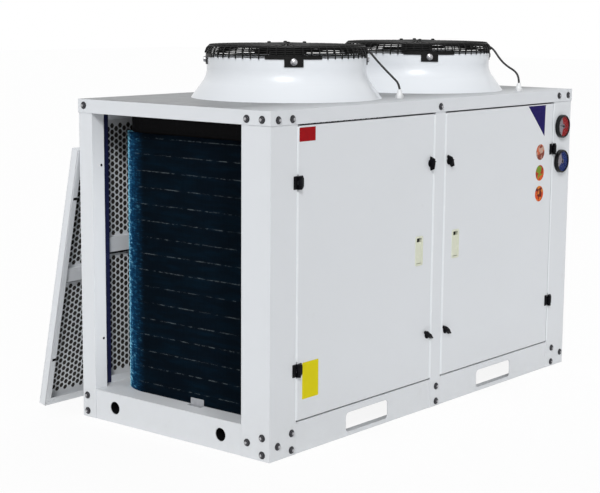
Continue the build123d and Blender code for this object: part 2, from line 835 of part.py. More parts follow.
# Motor cables: from the gland up over the ring's lip, in between the guard's wires and on to the motor's side
def cable(label, points):
    runs = [sqrt(sum((a - b) ** 2 for a, b in zip(p, q))) for p, q in zip(points, points[1:])]
    radii = []
    for i in range(1, len(points) - 1):
        before = Vector(*points[i]) - Vector(*points[i - 1])
        after = Vector(*points[i + 1]) - Vector(*points[i])
        turn = radians(before.get_angle(after))
        radii.append(0.45 * min(runs[i - 1], runs[i]) / tan(turn / 2))
    with BuildPart() as tube:
        with BuildLine() as path:
            FilletPolyline(*points, radius=radii)
        route = path.wires()[0]
        with BuildSketch(Plane(origin=route @ 0, z_dir=route % 0)):
            Circle(cable_radius)
        sweep(path=route)
    length = route.length
    print(label, "length", round(length), "radii", [round(r) for r in radii], "ratio",
          round(tube.part.volume / (length * pi * cable_radius**2), 4))
    save(tube.part, label)


def motor_side(from_left, height):
    # Where a cable meets the motor's side, on the bearing of the front right clamp
    reach = motor_radius + end_play
    x = x_left + from_left + reach * cos(radians(cable_bearing))
    return (x, y_front + fans_from_front + reach * sin(radians(cable_bearing)), height)


cable_routes = (
    (
        "left_fan_cable",
        gland_tops[0],
        [(-84, -284, 1046), (-90, -266, 1064), (-98, -244, 1086), (-109, -216, 1116), (-122, -186, 1154),
         (-156, -148, 1155), (-192, -110, 1153), (-226, -73, 1149)],
        1145,
    ),
    (
        "right_fan_cable",
        gland_tops[1],
        [(559, -330, 1048), (563, -312, 1068), (577, -272, 1082), (589, -234, 1104), (588, -198, 1150),
         (567, -163, 1155), (539, -128, 1154), (507, -92, 1152), (479, -62, 1149)],
        1146,
    ),
)
for (label, start, points, end_height), from_left in zip(cable_routes, fans_from_left):
    cable(label, [start] + points + [motor_side(from_left, end_height)])

# Compressor on rubber feet
x, y = x_left + compressor_from_left, y_front + compressor_from_front
with BuildPart() as compressor:
    foot_z = pan_top + compressor_rubber_height
    with Locations((x, y, foot_z + compressor_foot_sheet / 2)):
        Box(compressor_foot, compressor_foot, compressor_foot_sheet)
    fillet(compressor.edges().filter_by(Axis.Z), radius=30)
    with Locations((x, y, foot_z)):
        Cylinder(compressor_radius, compressor_height, align=(Align.CENTER, Align.CENTER, Align.MIN))
    top = compressor.faces().sort_by(Axis.Z)[-1].edges()
    chamfer(top, length=compressor_dome)
save(compressor.part, "compressor")
feet = []
for sx in (-1, 1):
    for sy in (-1, 1):
        reach = compressor_foot / 2 - 30
        with BuildPart() as foot:
            with Locations((x + sx * reach, y + sy * reach, pan_top)):
                Cylinder(
                    compressor_rubber_radius, compressor_rubber_height, align=(Align.CENTER, Align.CENTER, Align.MIN)
                )
        feet.append(foot.part)
save(Compound(children=feet), "compressor_feet")

# Liquid receiver standing on its base ring
x, y = x_left + receiver_from_left, y_front + receiver_from_front
with BuildPart() as receiver:
    with Locations((x, y, pan_top)):
        Cylinder(receiver_base_radius, receiver_base_height, align=(Align.CENTER, Align.CENTER, Align.MIN))
    with Locations((x, y, pan_top + receiver_base_height - 10)):
        Cylinder(receiver_radius, receiver_height, align=(Align.CENTER, Align.CENTER, Align.MIN))
    chamfer(receiver.faces().sort_by(Axis.Z)[-1].edges(), length=receiver_dome)
save(receiver.part, "liquid_receiver")
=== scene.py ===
import json
from math import asin, cos, pi, radians, sin, sqrt

import bmesh
import bpy
from mathutils import Matrix, Vector
from mathutils.geometry import delaunay_2d_cdt


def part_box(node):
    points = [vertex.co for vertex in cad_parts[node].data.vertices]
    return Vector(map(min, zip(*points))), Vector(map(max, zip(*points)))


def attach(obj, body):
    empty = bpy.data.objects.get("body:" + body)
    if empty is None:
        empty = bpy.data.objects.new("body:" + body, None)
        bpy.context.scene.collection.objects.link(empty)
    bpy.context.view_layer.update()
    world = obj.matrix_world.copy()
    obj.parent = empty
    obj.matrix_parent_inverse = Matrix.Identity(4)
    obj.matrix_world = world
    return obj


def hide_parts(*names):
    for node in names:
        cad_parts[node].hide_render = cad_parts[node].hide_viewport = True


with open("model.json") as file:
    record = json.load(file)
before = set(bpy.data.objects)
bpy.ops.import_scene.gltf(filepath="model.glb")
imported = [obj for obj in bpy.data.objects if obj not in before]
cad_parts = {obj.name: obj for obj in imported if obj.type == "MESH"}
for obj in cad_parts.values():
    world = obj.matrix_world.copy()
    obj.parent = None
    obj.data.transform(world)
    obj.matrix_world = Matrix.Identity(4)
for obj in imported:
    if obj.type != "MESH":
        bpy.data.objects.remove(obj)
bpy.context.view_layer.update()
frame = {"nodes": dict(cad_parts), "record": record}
nodes = frame["nodes"]
print("frame loaded:", len(nodes), "nodes")

# Camera at the photograph's angle
cameraSet = {"place": (-3.9482, -3.0760, 1.2863), "azimuth": 50.45, "down": 9.11, "roll": 0.422, "lens": 90.12}


def makeCamera(s):
    azimuth, down, roll = radians(s["azimuth"]), radians(s["down"]), radians(s["roll"])
    forward = Vector((sin(azimuth) * cos(down), cos(azimuth) * cos(down), -sin(down)))
    level = Vector((cos(azimuth), -sin(azimuth), 0))
    upright = level.cross(forward)
    right = level * cos(roll) + upright * sin(roll)
    up = upright * cos(roll) - level * sin(roll)
    data = bpy.data.cameras.new("camera")
    data.sensor_fit, data.sensor_width, data.lens = "HORIZONTAL", 36, s["lens"]
    camera = bpy.data.objects.new("camera", data)
    camera.matrix_world = Matrix((right, up, -forward)).transposed().to_4x4()
    camera.matrix_world.translation = s["place"]
    bpy.context.scene.collection.objects.link(camera)
    bpy.context.scene.camera = camera


makeCamera(cameraSet)
print("camera placed")


# Finishes: one wrapped socket for shader maths, one finish that makes any node
class Socket:
    def __init__(self, finish, socket):
        self.finish, self.socket = finish, socket

    def maths(self, operation, first, second):
        return self.finish.node("Math", {"operation": operation}, {0: first, 1: second})

    def __add__(self, other):
        return self.maths("ADD", self, other)

    def __radd__(self, other):
        return self.maths("ADD", other, self)

    def __sub__(self, other):
        return self.maths("SUBTRACT", self, other)

    def __rsub__(self, other):
        return self.maths("SUBTRACT", other, self)

    def __mul__(self, other):
        return self.maths("MULTIPLY", self, other)

    def __rmul__(self, other):
        return self.maths("MULTIPLY", other, self)

    def __gt__(self, other):
        return self.maths("GREATER_THAN", self, other)

    def __lt__(self, other):
        return self.maths("LESS_THAN", self, other)


class Finish:
    def __init__(self, name, **fixed):
        self.material = bpy.data.materials.new(name)
        self.material.use_nodes = True
        self.tree = self.material.node_tree
        self.tree.nodes.clear()
        self.surface = self.tree.nodes.new("ShaderNodeBsdfPrincipled")
        output = self.tree.nodes.new("ShaderNodeOutputMaterial")
        self.tree.links.new(self.surface.outputs[0], output.inputs[0])
        self.feed(self.surface, {key.replace("_", " "): value for key, value in fixed.items()})

    def feed(self, node, inputs):
        for name, value in inputs.items():
            if isinstance(value, Socket):
                self.tree.links.new(value.socket, node.inputs[name])
            else:
                node.inputs[name].default_value = value

    def node(self, kind, settings={}, inputs={}, output=0):
        node = self.tree.nodes.new("ShaderNode" + kind)
        for name, value in settings.items():
            if name == "stops":
                ramp = node.color_ramp
                while len(ramp.elements) < len(value):
                    ramp.elements.new(1)
                for element, (place, colour) in zip(ramp.elements, value):
                    element.position, element.color = place, (*colour, 1)
            else:
                setattr(node, name, value)
        self.feed(node, inputs)
        return Socket(self, node.outputs[output])

    def place(self):
        return self.node("TexCoord", output="Object")

    def noise(self, vector, scale, detail=2.0, rough=0.5):
        return self.node("TexNoise", {}, {"Vector": vector, "Scale": scale, "Detail": detail, "Roughness": rough})

    def blend(self, mask, first, second):
        first, second = [(*c, 1) if isinstance(c, tuple) else c for c in (first, second)]
        return self.node("Mix", {"data_type": "RGBA"}, {0: mask, 6: first, 7: second}, 2)

    def bump(self, height, distance, strength=1.0, normal=None):
        inputs = {"Height": height, "Distance": distance, "Strength": strength}
        if normal:
            inputs["Normal"] = normal
        return self.node("Bump", {}, inputs)

    def set(self, **inputs):
        self.feed(self.surface, {key.replace("_", " "): value for key, value in inputs.items()})
        return self.material


# Sheet metal in powder coat: fine orange peel, soft bends, a little dust low down, and on the roof dust mixed with
# painted shade
paintSet = {"tone": (0.640, 0.662, 0.690), "dust": (0.50, 0.50, 0.49), "dustAndShade": (0.175, 0.18, 0.185), "peel": 850, "bend": 0.0018, "roofShine": 0.1, "shine": 0.5}


def paint(name, s, roughness=0.38, roof=False):
    finish = Finish(name, IOR=1.5, Specular_IOR_Level=s["roofShine"] if roof else s["shine"])
    place = finish.place()
    cloud = finish.noise(place, 3.5, 4, 0.6)
    dustAndShade = finish.noise(place, 22, 6, 0.65)
    height = finish.node("SeparateXYZ", {}, {0: place}, "Z")
    low = finish.node("MapRange", {"clamp": True}, {"Value": height, "From Min": 0.22, "From Max": 0.0})
    dust = low * dustAndShade * 0.35 + (dustAndShade > 0.68) * 0.08
    tone = finish.blend(dust, finish.blend(cloud, tuple(c * 0.985 for c in s["tone"]), tuple(c * 1.015 for c in s["tone"])), s["dust"])
    if roof:  # dust on the lid mixed with painted shade, darker away from its front edge
        flatness = finish.node("SeparateXYZ", {}, {0: finish.node("TexCoord", output="Normal")}, "Z")
        depth = finish.node("SeparateXYZ", {}, {0: place}, "Y")
        back = finish.node("MapRange", {"clamp": True}, {"Value": depth, "From Min": -0.41, "From Max": -0.20})
        tone = finish.blend((flatness > 0.9) * back * (0.62 + 0.45 * dustAndShade), tone, s["dustAndShade"])
    peel = finish.noise(place, s["peel"], 2, 0.5)
    bend = finish.node("Bevel", {"samples": 4}, {"Radius": s["bend"]})
    return finish.set(
        Base_Color=tone,
        Roughness=roughness + 0.12 * cloud + 0.2 * dust,
        Normal=finish.bump(peel, 0.00012, 0.35, bend),
    )


# Moulded fan rings: glossier, whiter, with a faint ripple from the mould
ringSet = {"tone": (0.745, 0.775, 0.815), "shade": (0.705, 0.735, 0.77)}


def ringGloss(name, s):
    finish = Finish(name, IOR=1.5, Coat_Roughness=0.12)
    place = finish.place()
    cloud = finish.noise(place, 5, 3, 0.5)
    ripple = finish.noise(place, 60, 3, 0.5)
    return finish.set(
        Base_Color=finish.blend(cloud, s["shade"], s["tone"]),
        Roughness=0.26 + 0.16 * ripple,
        Coat_Weight=0.25 + 0.2 * cloud,
        Normal=finish.bump(ripple, 0.0004, 0.25),
    )


# Plastics and rubbers: a base colour, a fine grain and rubbed lighter spots
def plastic(name, tone, rubbed, roughness, grain=1400.0, gloss=0.0, shine=0.5):
    finish = Finish(name, IOR=1.48, Coat_Roughness=0.1, Specular_IOR_Level=shine)
    place = finish.place()
    fine = finish.noise(place, grain, 2, 0.5)
    worn = finish.noise(place, 45, 5, 0.6)
    return finish.set(
        Base_Color=finish.blend((worn > 0.58) * 0.5 + 0.15 * fine, tone, rubbed),
        Roughness=roughness + 0.18 * worn,
        Coat_Weight=gloss * (1 - 0.4 * worn),
        Normal=finish.bump(fine, 0.0001, 0.4),
    )


# Metals: brushed or plated, with darker spots where the plating is dull
def metal(name, tone, dull, roughness, scale=80.0):
    finish = Finish(name)
    place = finish.place()
    spots = finish.noise(place, scale, 6, 0.65)
    fine = finish.noise(place, 900, 2, 0.5)
    return finish.set(
        Base_Color=finish.blend(spots, dull, tone),
        Metallic=0.82 + 0.18 * fine,
        Roughness=roughness + 0.22 * spots,
        Normal=finish.bump(fine, 0.00015, 0.3),
    )


# Fin stock: blue coated aluminium, darkened face on as painted shade between the fins, a painted highlight where the
# fins open round the bend, and painted pale glints at the tube rows
finSet = {
    "deep": (0.0035, 0.010, 0.020), "shadedMid": (0.006, 0.028, 0.055), "highlightDeep": (0.004, 0.040, 0.105),
    "highlightMiddle": (0.012, 0.130, 0.300), "highlightPale": (0.36, 0.84, 1.0), "tubeGlint": (0.36, 0.43, 0.46), "row": 0.0508,
    "bendFrom": 0.188, "bendTo": 0.238, "rimFrom": 0.246, "rimTo": 0.290, "bendWest": -0.690,
}


def finCoating(name, s):
    finish = Finish(name, IOR=1.45, Coat_Roughness=0.25, Specular_IOR_Level=0.3)
    place = finish.place()
    streak = finish.noise(finish.node("Mapping", {}, {"Vector": place, "Scale": (40, 40, 3)}), 6, 4, 0.6)
    bent = finish.noise(finish.node("Mapping", {}, {"Vector": place, "Scale": (3, 3, 22)}), 3, 5, 0.7)
    ragged = finish.noise(finish.node("Mapping", {}, {"Vector": place, "Scale": (18, 18, 70)}), 2, 5, 0.8)
    height = finish.node("SeparateXYZ", {}, {0: place}, "Z")
    depth = finish.node("SeparateXYZ", {}, {0: place}, "Y")
    across = finish.node("SeparateXYZ", {}, {0: place}, "X")
    row = finish.node("Math", {"operation": "FRACT"}, {0: height * (1 / s["row"])})
    flat = finish.node("MapRange", {"clamp": True}, {"Value": bent, "From Min": 0.45, "From Max": 0.8})
    bend = finish.node("MapRange", {"clamp": True}, {"Value": depth + 0.03 * (ragged - 0.5), "From Min": s["bendFrom"], "From Max": s["bendTo"]})
    edge = bend * (across < s["bendWest"])
    rim = finish.node("MapRange", {"clamp": True}, {"Value": depth + 0.03 * (ragged - 0.5), "From Min": s["rimFrom"], "From Max": s["rimTo"]})
    # both face colours are darker than the fins' own coat: painted shade between the fins
    face = finish.blend(flat, s["deep"], s["shadedMid"])
    # painted highlight where the fins open round the bend
    shine = finish.node("ValToRGB", {"stops": [(0.30, s["highlightDeep"]), (0.62, s["highlightMiddle"]), (0.95, s["highlightPale"])]}, {
        0: 0.36 + 2.4 * (ragged - 0.5) + 1.0 * (streak - 0.5) + 0.55 * rim,
    })
    # pale dashes along the tube rows are painted glints
    tubeGlint = (row > 0.475) * (row < 0.530) * (ragged > 0.53) * (1 - edge)
    tone = finish.blend(tubeGlint * 0.5, finish.blend(edge, face, shine), s["tubeGlint"])
    return finish.set(
        Base_Color=tone,
        Metallic=0.15 + 0.2 * bent,
        Roughness=0.5 + 0.25 * streak,
        Normal=finish.bump(bent, 0.0006, 0.4),
    )


# Printed film on the stickers: a plain ground with a faint mottle
def film(name, tone, shade, scale=60.0, roughness=0.45):
    finish = Finish(name, IOR=1.46, Specular_IOR_Level=0.04)
    place = finish.place()
    mottle = finish.noise(place, scale, 4, 0.6)
    return finish.set(
        Base_Color=finish.blend(mottle, shade, tone),
        Roughness=roughness + 0.15 * mottle,
        Normal=finish.bump(mottle, 0.0002, 0.3),
    )


# Round stickers: soft patches of three colours
def patches(name, first, second, third, scale):
    finish = Finish(name, IOR=1.46, Specular_IOR_Level=0.05)
    place = finish.place()
    blot = finish.noise(place, scale, 3, 0.55)
    spot = finish.noise(place, scale * 1.7, 2, 0.5)
    tone = finish.blend(spot > 0.54, finish.blend(blot > 0.5, first, second), third)
    return finish.set(Base_Color=tone, Roughness=0.3 + 0.2 * blot, Normal=finish.bump(blot, 0.0002, 0.2))


# Black net between the two skins of a ventilated panel, made dark as painted shade seen through the holes
def netWeave(name):
    finish = Finish(name, IOR=1.45)
    place = finish.place()
    weave = finish.node("TexWave", {"bands_direction": "X"}, {"Vector": place, "Scale": 160.0})
    weft = finish.node("TexWave", {"bands_direction": "Z"}, {"Vector": place, "Scale": 160.0})
    fluff = finish.noise(place, 9, 5, 0.6)
    thread = weave * weft
    return finish.set(
        Base_Color=finish.blend(fluff * thread, (0.012, 0.010, 0.009), (0.075, 0.058, 0.048)),
        Roughness=0.75 + 0.2 * fluff,
        Normal=finish.bump(thread, 0.0005, 0.5),
    )


# Clear glass over the gauge dials
def clearGlass(name):
    finish = Finish(name, IOR=1.45)
    place = finish.place()
    smear = finish.noise(place, 60, 4, 0.6)
    return finish.set(
        Base_Color=finish.blend(smear, (0.05, 0.06, 0.08), (0.12, 0.13, 0.15)),
        Roughness=0.04 + 0.05 * smear,
        Alpha=0.04 + 0.03 * smear,
    )


finishes = {
    "cabinet": paint("powder_coat", paintSet),
    "door": paint("door_powder_coat", paintSet, 0.35),
    "roof": paint("roof_powder_coat", paintSet, 0.36, True),
    # pale strips that paint the highlight on the rounded door edges
    "edgeHighlight": plastic("edge_highlight_strip", (0.74, 0.77, 0.80), (0.80, 0.82, 0.84), 0.4),
    # near-black used as painted shade inside holes, slots and gaps
    "shadeBlack": plastic("painted_shade_black", (0.002, 0.002, 0.0025), (0.005, 0.005, 0.006), 0.7, shine=0.1),
    "navyStrip": plastic("navy_strip", (0.010, 0.012, 0.045), (0.02, 0.025, 0.08), 0.5, shine=0.2),
    "ring": ringGloss("ring_gloss", ringSet),
    "pull": plastic("ivory_plastic", (0.60, 0.62, 0.50), (0.68, 0.69, 0.57), 0.38),
    "blackPlastic": plastic("black_plastic", (0.002, 0.002, 0.003), (0.007, 0.007, 0.010), 0.36, shine=0.08),
    "bezel": plastic("bezel_black", (0.003, 0.003, 0.004), (0.008, 0.008, 0.010), 0.16, gloss=0.12, shine=0.2),
    "blackWire": plastic("black_wire_coat", (0.002, 0.002, 0.002), (0.006, 0.006, 0.006), 0.40, shine=0.18),
    "motor": plastic("motor_enamel", (0.010, 0.010, 0.011), (0.05, 0.05, 0.052), 0.45, 300),
    "rotor": metal("rotor_enamel", (0.06, 0.06, 0.065), (0.03, 0.03, 0.032), 0.45),
    "coil": finCoating("blue_fin_coating", finSet),
    "copper": metal("copper_tube", (0.55, 0.26, 0.15), (0.22, 0.10, 0.06), 0.35),
    "zinc": metal("zinc_plate", (0.55, 0.56, 0.58), (0.34, 0.35, 0.37), 0.38),
    "chrome": metal("bolt_chrome", (0.62, 0.62, 0.64), (0.20, 0.20, 0.21), 0.16, 160),
    # dark bolt heads: the dark tone is a painted reflection of dark surroundings in a chrome head
    "darkReflectionBolt": metal("bolt_chrome_dark_reflection", (0.10, 0.10, 0.11), (0.020, 0.020, 0.022), 0.10, 160),
    "glass": clearGlass("gauge_glass_clear"),
    "cable": plastic("cable_rubber", (0.010, 0.010, 0.011), (0.03, 0.03, 0.032), 0.48),
    "gland": plastic("white_nylon", (0.72, 0.73, 0.74), (0.80, 0.81, 0.82), 0.35),
    "compressor": plastic("compressor_enamel", (0.009, 0.010, 0.012), (0.03, 0.03, 0.034), 0.3, 300, 0.5),
    "rubber": plastic("foot_rubber", (0.014, 0.014, 0.014), (0.04, 0.04, 0.04), 0.7),
    "net": netWeave("shade_net"),
    "yellowFilm": film("yellow_film", (0.66, 0.57, 0.010), (0.60, 0.52, 0.008)),
    "redFilm": film("red_film", (0.36, 0.008, 0.010), (0.22, 0.006, 0.010)),
    "navyFilm": film("navy_film", (0.010, 0.006, 0.075), (0.020, 0.014, 0.11)),
    "whiteFilm": film("white_film", (0.78, 0.78, 0.80), (0.70, 0.70, 0.73)),
    "dialWhite": film("dial_face", (0.34, 0.31, 0.34), (0.20, 0.18, 0.20), 35),
    "dialRed": film("dial_red", (0.42, 0.016, 0.014), (0.18, 0.008, 0.010), 35),
    "dialBlue": film("dial_blue", (0.008, 0.032, 0.22), (0.004, 0.010, 0.05), 35),
    "dialInk": film("dial_ink", (0.012, 0.012, 0.014), (0.03, 0.03, 0.034)),
    "patchUpper": patches("patch_coral", (0.52, 0.13, 0.06), (0.20, 0.05, 0.035), (0.46, 0.30, 0.24), 34),
    "patchMiddle": patches("patch_garden", (0.58, 0.10, 0.02), (0.16, 0.26, 0.025), (0.34, 0.035, 0.015), 32),
    "patchLower": patches("patch_orange", (0.58, 0.07, 0.015), (0.14, 0.015, 0.01), (0.62, 0.20, 0.03), 32),
}
slotOf = {
    "cabinet": "cabinet", "door": "door", "pull": "pull", "black_plastic": "blackPlastic", "ring": "ring",
    "black_wire": "blackWire", "motor": "motor", "rotor": "rotor", "coil": "coil", "zinc": "zinc",
    "gauge_glass": "glass", "cable": "cable", "gland": "gland", "compressor": "compressor", "rubber": "rubber",
}


# Every carried-over CAD node takes the finish of its slot
def dressNodes():
    slots = {part["node"]: part["material_slot"] for part in frame["record"]["subparts"]}
    for name, node in nodes.items():
        wanted = finishes[slotOf[slots[name]]]
        if name in ("upper_gauge", "lower_gauge"):
            wanted = finishes["bezel"]
        if name == "roof_panel":
            wanted = finishes["roof"]
        if not node.material_slots:
            node.data.materials.append(wanted)
        for held in node.material_slots:
            held.material = wanted


dressNodes()
print("finishes made:", len(finishes))


# Mesh helpers
def addPiece(name, mesh, finishNames, body, smooth=None):
    if isinstance(mesh, bmesh.types.BMesh):
        bmesh.ops.recalc_face_normals(mesh, faces=mesh.faces)
        data = bpy.data.meshes.new(name)
        mesh.to_mesh(data)
        mesh.free()
    else:
        data = mesh
    piece = bpy.data.objects.new(name, data)
    bpy.context.scene.collection.objects.link(piece)
    for wanted in finishNames:
        data.materials.append(finishes[wanted])
    if smooth is not None:
        for face in data.polygons:
            face.use_smooth = True
        data.set_sharp_from_angle(angle=radians(smooth))
    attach(piece, body)
    return piece


def block(mesh, low, high, material=0, bevel=0.0):
    made = bmesh.ops.create_cube(mesh, size=1)["verts"]
    low, high = Vector(low), Vector(high)
    bmesh.ops.scale(mesh, verts=made, vec=high - low)
    bmesh.ops.translate(mesh, verts=made, vec=(low + high) / 2)
    faces = {face for vert in made for face in vert.link_faces}
    if bevel:
        edges = list({edge for face in faces for edge in face.edges})
        faces |= set(bmesh.ops.bevel(mesh, geom=edges, offset=bevel, segments=2, affect="EDGES", profile=0.5)["faces"])
    for face in faces:
        if face.is_valid:
            face.material_index = material


def turned(mesh, profile, place, out, segments=24, material=0):
    # A profile of (radius, height) points turned about the axis out, closed where its radius is 0
    toWorld = Matrix.Translation(place) @ Vector(out).to_track_quat("Z", "Y").to_matrix().to_4x4()
    rows = []
    for radius, height in profile:
        count = 1 if radius == 0 else segments
        rows.append([
            mesh.verts.new(toWorld @ Vector((radius * cos(2 * pi * i / count), radius * sin(2 * pi * i / count), height)))
            for i in range(count)
        ])
    for lower, upper in zip(rows, rows[1:]):
        for i in range(segments):
            j = (i + 1) % segments
            ends = [lower[i % len(lower)], lower[j % len(lower)], upper[j % len(upper)], upper[i % len(upper)]]
            mesh.faces.new(list(dict.fromkeys(ends))).material_index = material


def flatShape(mesh, points, y, thickness, material=0):
    # A flat outline in X and Z, raised towards the front
    front = [mesh.verts.new((x, y - thickness, z)) for x, z in points]
    back = [mesh.verts.new((x, y, z)) for x, z in points]
    mesh.faces.new(front).material_index = material
    for i in range(len(points)):
        j = (i + 1) % len(points)
        mesh.faces.new((front[i], back[i], back[j], front[j])).material_index = material


def wireCurve(name, runs, radius, finish, body, sides=2):
    # Round wires along runs of points, each run (points, closed)
    data = bpy.data.curves.new(name, "CURVE")
    data.dimensions, data.bevel_depth, data.bevel_resolution, data.use_fill_caps = "3D", radius, sides, True
    for points, closed in runs:
        spline = data.splines.new("POLY")
        spline.points.add(len(points) - 1)
        for held, point in zip(spline.points, points):
            held.co = (*point, 1)
        spline.use_cyclic_u = closed
    data.materials.append(finishes[finish])
    piece = bpy.data.objects.new(name, data)
    bpy.context.scene.collection.objects.link(piece)
    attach(piece, body)
    return piece


# Motor cables: from the gland over the ring's lip, in between the guard's wires and down to the motor's side
cableSet = {
    "diameter": 0.007,
    "left": {
        "length": 0.365,
        "route": [(-0.083, -0.287, 1.028), (-0.084, -0.284, 1.046), (-0.090, -0.266, 1.064), (-0.098, -0.244, 1.086),
                  (-0.109, -0.216, 1.116), (-0.122, -0.186, 1.154), (-0.156, -0.148, 1.155), (-0.192, -0.110, 1.153),
                  (-0.226, -0.073, 1.149), (-0.2559, -0.0381, 1.145)],
    },
    "right": {
        "length": 0.399,
        "route": [(0.559, -0.331, 1.028), (0.559, -0.330, 1.048), (0.563, -0.312, 1.068), (0.577, -0.272, 1.082),
                  (0.589, -0.234, 1.104), (0.588, -0.198, 1.150), (0.567, -0.163, 1.155), (0.539, -0.128, 1.154),
                  (0.507, -0.092, 1.152), (0.479, -0.062, 1.149), (0.4541, -0.0381, 1.146)],
    },
}


def makeCables(s):
    for end in ("left", "right"):
        points = s[end]["route"]
        data = bpy.data.curves.new(f"{end}MotorCable", "CURVE")
        data.dimensions, data.bevel_depth, data.bevel_resolution, data.use_fill_caps = "3D", s["diameter"] / 2, 4, True
        data.resolution_u = 16
        spline = data.splines.new("NURBS")
        spline.points.add(len(points) - 1)
        for held, point in zip(spline.points, points):
            held.co = (*point, 1)
        spline.order_u = 3
        spline.use_endpoint_u = True
        data.materials.append(finishes["cable"])
        cable = bpy.data.objects.new(f"{end}MotorCable", data)
        bpy.context.scene.collection.objects.link(cable)
        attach(cable, "cabinet")
        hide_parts(f"{end}_fan_cable")


makeCables(cableSet)
print("cables laid")

# Bolt heads on the cabinet, as distances from the left or front edge and heights, in metres
boltSet = {
    "front": [(0.032, 0.974), (0.093, 0.974), (0.037, 0.041), (0.099, 0.067), (0.099, 0.017), (0.823, 0.975),
              (0.832, 0.066), (0.833, 0.016), (1.560, 0.979), (1.623, 0.979), (1.568, 0.067), (1.567, 0.016),
              (1.629, 0.041)],
    "rear": [(0.032, 0.974), (0.093, 0.974), (0.035, 0.067), (0.035, 0.017), (0.823, 0.975), (0.832, 0.066),
             (0.833, 0.016), (1.557, 0.974), (1.618, 0.974), (1.615, 0.067), (1.615, 0.017)],
    "side": [(0.755, 0.981), (0.089, 0.975), (0.032, 0.975), (0.759, 0.069), (0.758, 0.019), (0.087, 0.045),
             (0.030, 0.068), (0.030, 0.018)],
    "profile": [(0.0115, 0.0), (0.0115, 0.0011), (0.0108, 0.0016), (0.0090, 0.0018), (0.0085, 0.0046), (0.0068, 0.0060),
                (0.0050, 0.0062), (0.0, 0.0062)],
    "studProfile": [(0.0046, 0.0056), (0.0044, 0.0078), (0.0030, 0.0086), (0.0, 0.0088)],
    "screwProfile": [(0.0042, 0.0), (0.0040, 0.0012), (0.0026, 0.0020), (0.0, 0.0021)],
    "returnScrews": [(0.7865, 0.797), (0.7865, 0.252)],
}


def makeBolts(s):
    roof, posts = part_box("roof_panel"), (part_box("front_left_post")[0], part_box("rear_right_post")[1])
    mesh = bmesh.new()
    for rows, out, skirt, post in (
        ("front", (0, -1, 0), roof[0].y, posts[0].y), ("rear", (0, 1, 0), roof[1].y, posts[1].y),
        ("side", (-1, 0, 0), roof[0].x, posts[0].x), ("side", (1, 0, 0), roof[1].x, posts[1].x),
    ):
        for along, height in s[rows]:
            face = skirt if height > roof[0].z else post
            place = (face, roof[0].y + along, height) if rows == "side" else (roof[0].x + along, face, height)
            turned(mesh, s["profile"], place, out, 12)
            turned(mesh, s["studProfile"], place, out, 10, 1)
    addPiece("cabinetBolts", mesh, ["darkReflectionBolt", "chrome"], "cabinet", 35)
    screws = bmesh.new()  # small screws in the rear posts' returns, seen through the end opening
    for along, height in s["returnScrews"]:
        for side in (-1, 1):
            turned(screws, s["screwProfile"], (side * along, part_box("rear_left_post")[0].y, height), (0, -1, 0), 10)
    addPiece("returnScrews", screws, ["darkReflectionBolt"], "cabinet", 35)


makeBolts(boltSet)
print("bolts set")

# Near-black sleeves behind the lifting holes: painted shade that leaves them dark from outside
sleeveSet = {"places": [-0.197, 0.247], "height": 0.0476, "radius": 0.0206, "wall": 0.0016, "length": 0.085, "skin": 0.0022}


def makeSleeves(s):
    mesh = bmesh.new()
    inner, outer, deep = s["radius"], s["radius"] + s["wall"], s["length"]
    profile = [(0, deep - s["wall"]), (inner, deep - s["wall"]), (inner, 0), (outer, 0), (outer, deep), (0, deep)]
    for rail, side in (("left_base_rail", 1), ("right_base_rail", -1)):
        low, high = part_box(rail)
        face = (low.x if side > 0 else high.x) + side * s["skin"]
        for y in s["places"]:
            turned(mesh, profile, (face, y, s["height"]), (side, 0, 0), 28)
    addPiece("liftSleeves", mesh, ["shadeBlack"], "cabinet", 40)


makeSleeves(sleeveSet)

# Painted highlight: pale beads over the upright gaps beside the doors, standing in for the light caught by the rounded
# door edges; on the doors' free edges and on the posts beside the hinges
edgeHighlightSet = {"overPost": 0.0012, "overDoor": 0.0030, "hingeOverDoor": 0.0002, "proud": 0.0011, "inset": 0.002, "round": 0.0005}


def makeEdgeHighlights(s):
    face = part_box("left_door")[0].y
    post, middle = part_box("front_left_post")[1].x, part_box("front_middle_post")
    for end, side in (("left", -1), ("right", 1)):
        low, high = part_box(f"{end}_door")
        foot, head = low.z + s["inset"], high.z - s["inset"]
        inner, outer = (high.x, low.x) if side < 0 else (low.x, high.x)
        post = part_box(f"front_{end}_post")[1 if side < 0 else 0].x
        centre = middle[0].x if side < 0 else middle[1].x
        free, held = bmesh.new(), bmesh.new()
        ends = sorted((inner + side * s["overDoor"], centre - side * s["overPost"]))
        block(free, (ends[0], face - s["proud"], foot), (ends[1], face, head), bevel=s["round"])
        ends = sorted((post + side * s["overDoor"], outer - side * s["hingeOverDoor"]))
        for z0, z1 in ((foot, 0.226), (0.274, 0.768), (0.816, head)):
            block(held, (ends[0], face - s["proud"], z0), (ends[1], face, z1), bevel=s["round"])
        addPiece(f"{end}DoorEdgeHighlight", free, ["edgeHighlight"], f"{end}_door_body")
        addPiece(f"{end}PostEdgeHighlight", held, ["edgeHighlight"], "cabinet")


makeEdgeHighlights(edgeHighlightSet)
print("sleeves and trims set")

# Ventilated panels: two pierced skins with a net between them, folded edges, lips and a channel
panelSet = {
    "depth": 0.028, "sheet": 0.0016, "lip": 0.022, "pitch": 0.020, "hole": 0.0152, "margin": 0.030,
    "areas": [(0.028, 0.407), (0.468, 0.832)], "bandFoot": 0.418, "bandHeight": 0.046, "bandDepth": 0.016,
    "slot": (0.4090, 0.4168), "slotInset": 0.010, "mitreGap": 0.0006, "bend": 0.0007, "footRun": 0.178,
    "lipSlots": [0.1585, 0.7016], "lipSlotPlace": 0.0135, "lipSlotSize": (0.0075, 0.0042), "stripWidth": 0.022, "stripDepth": 0.0016,
}


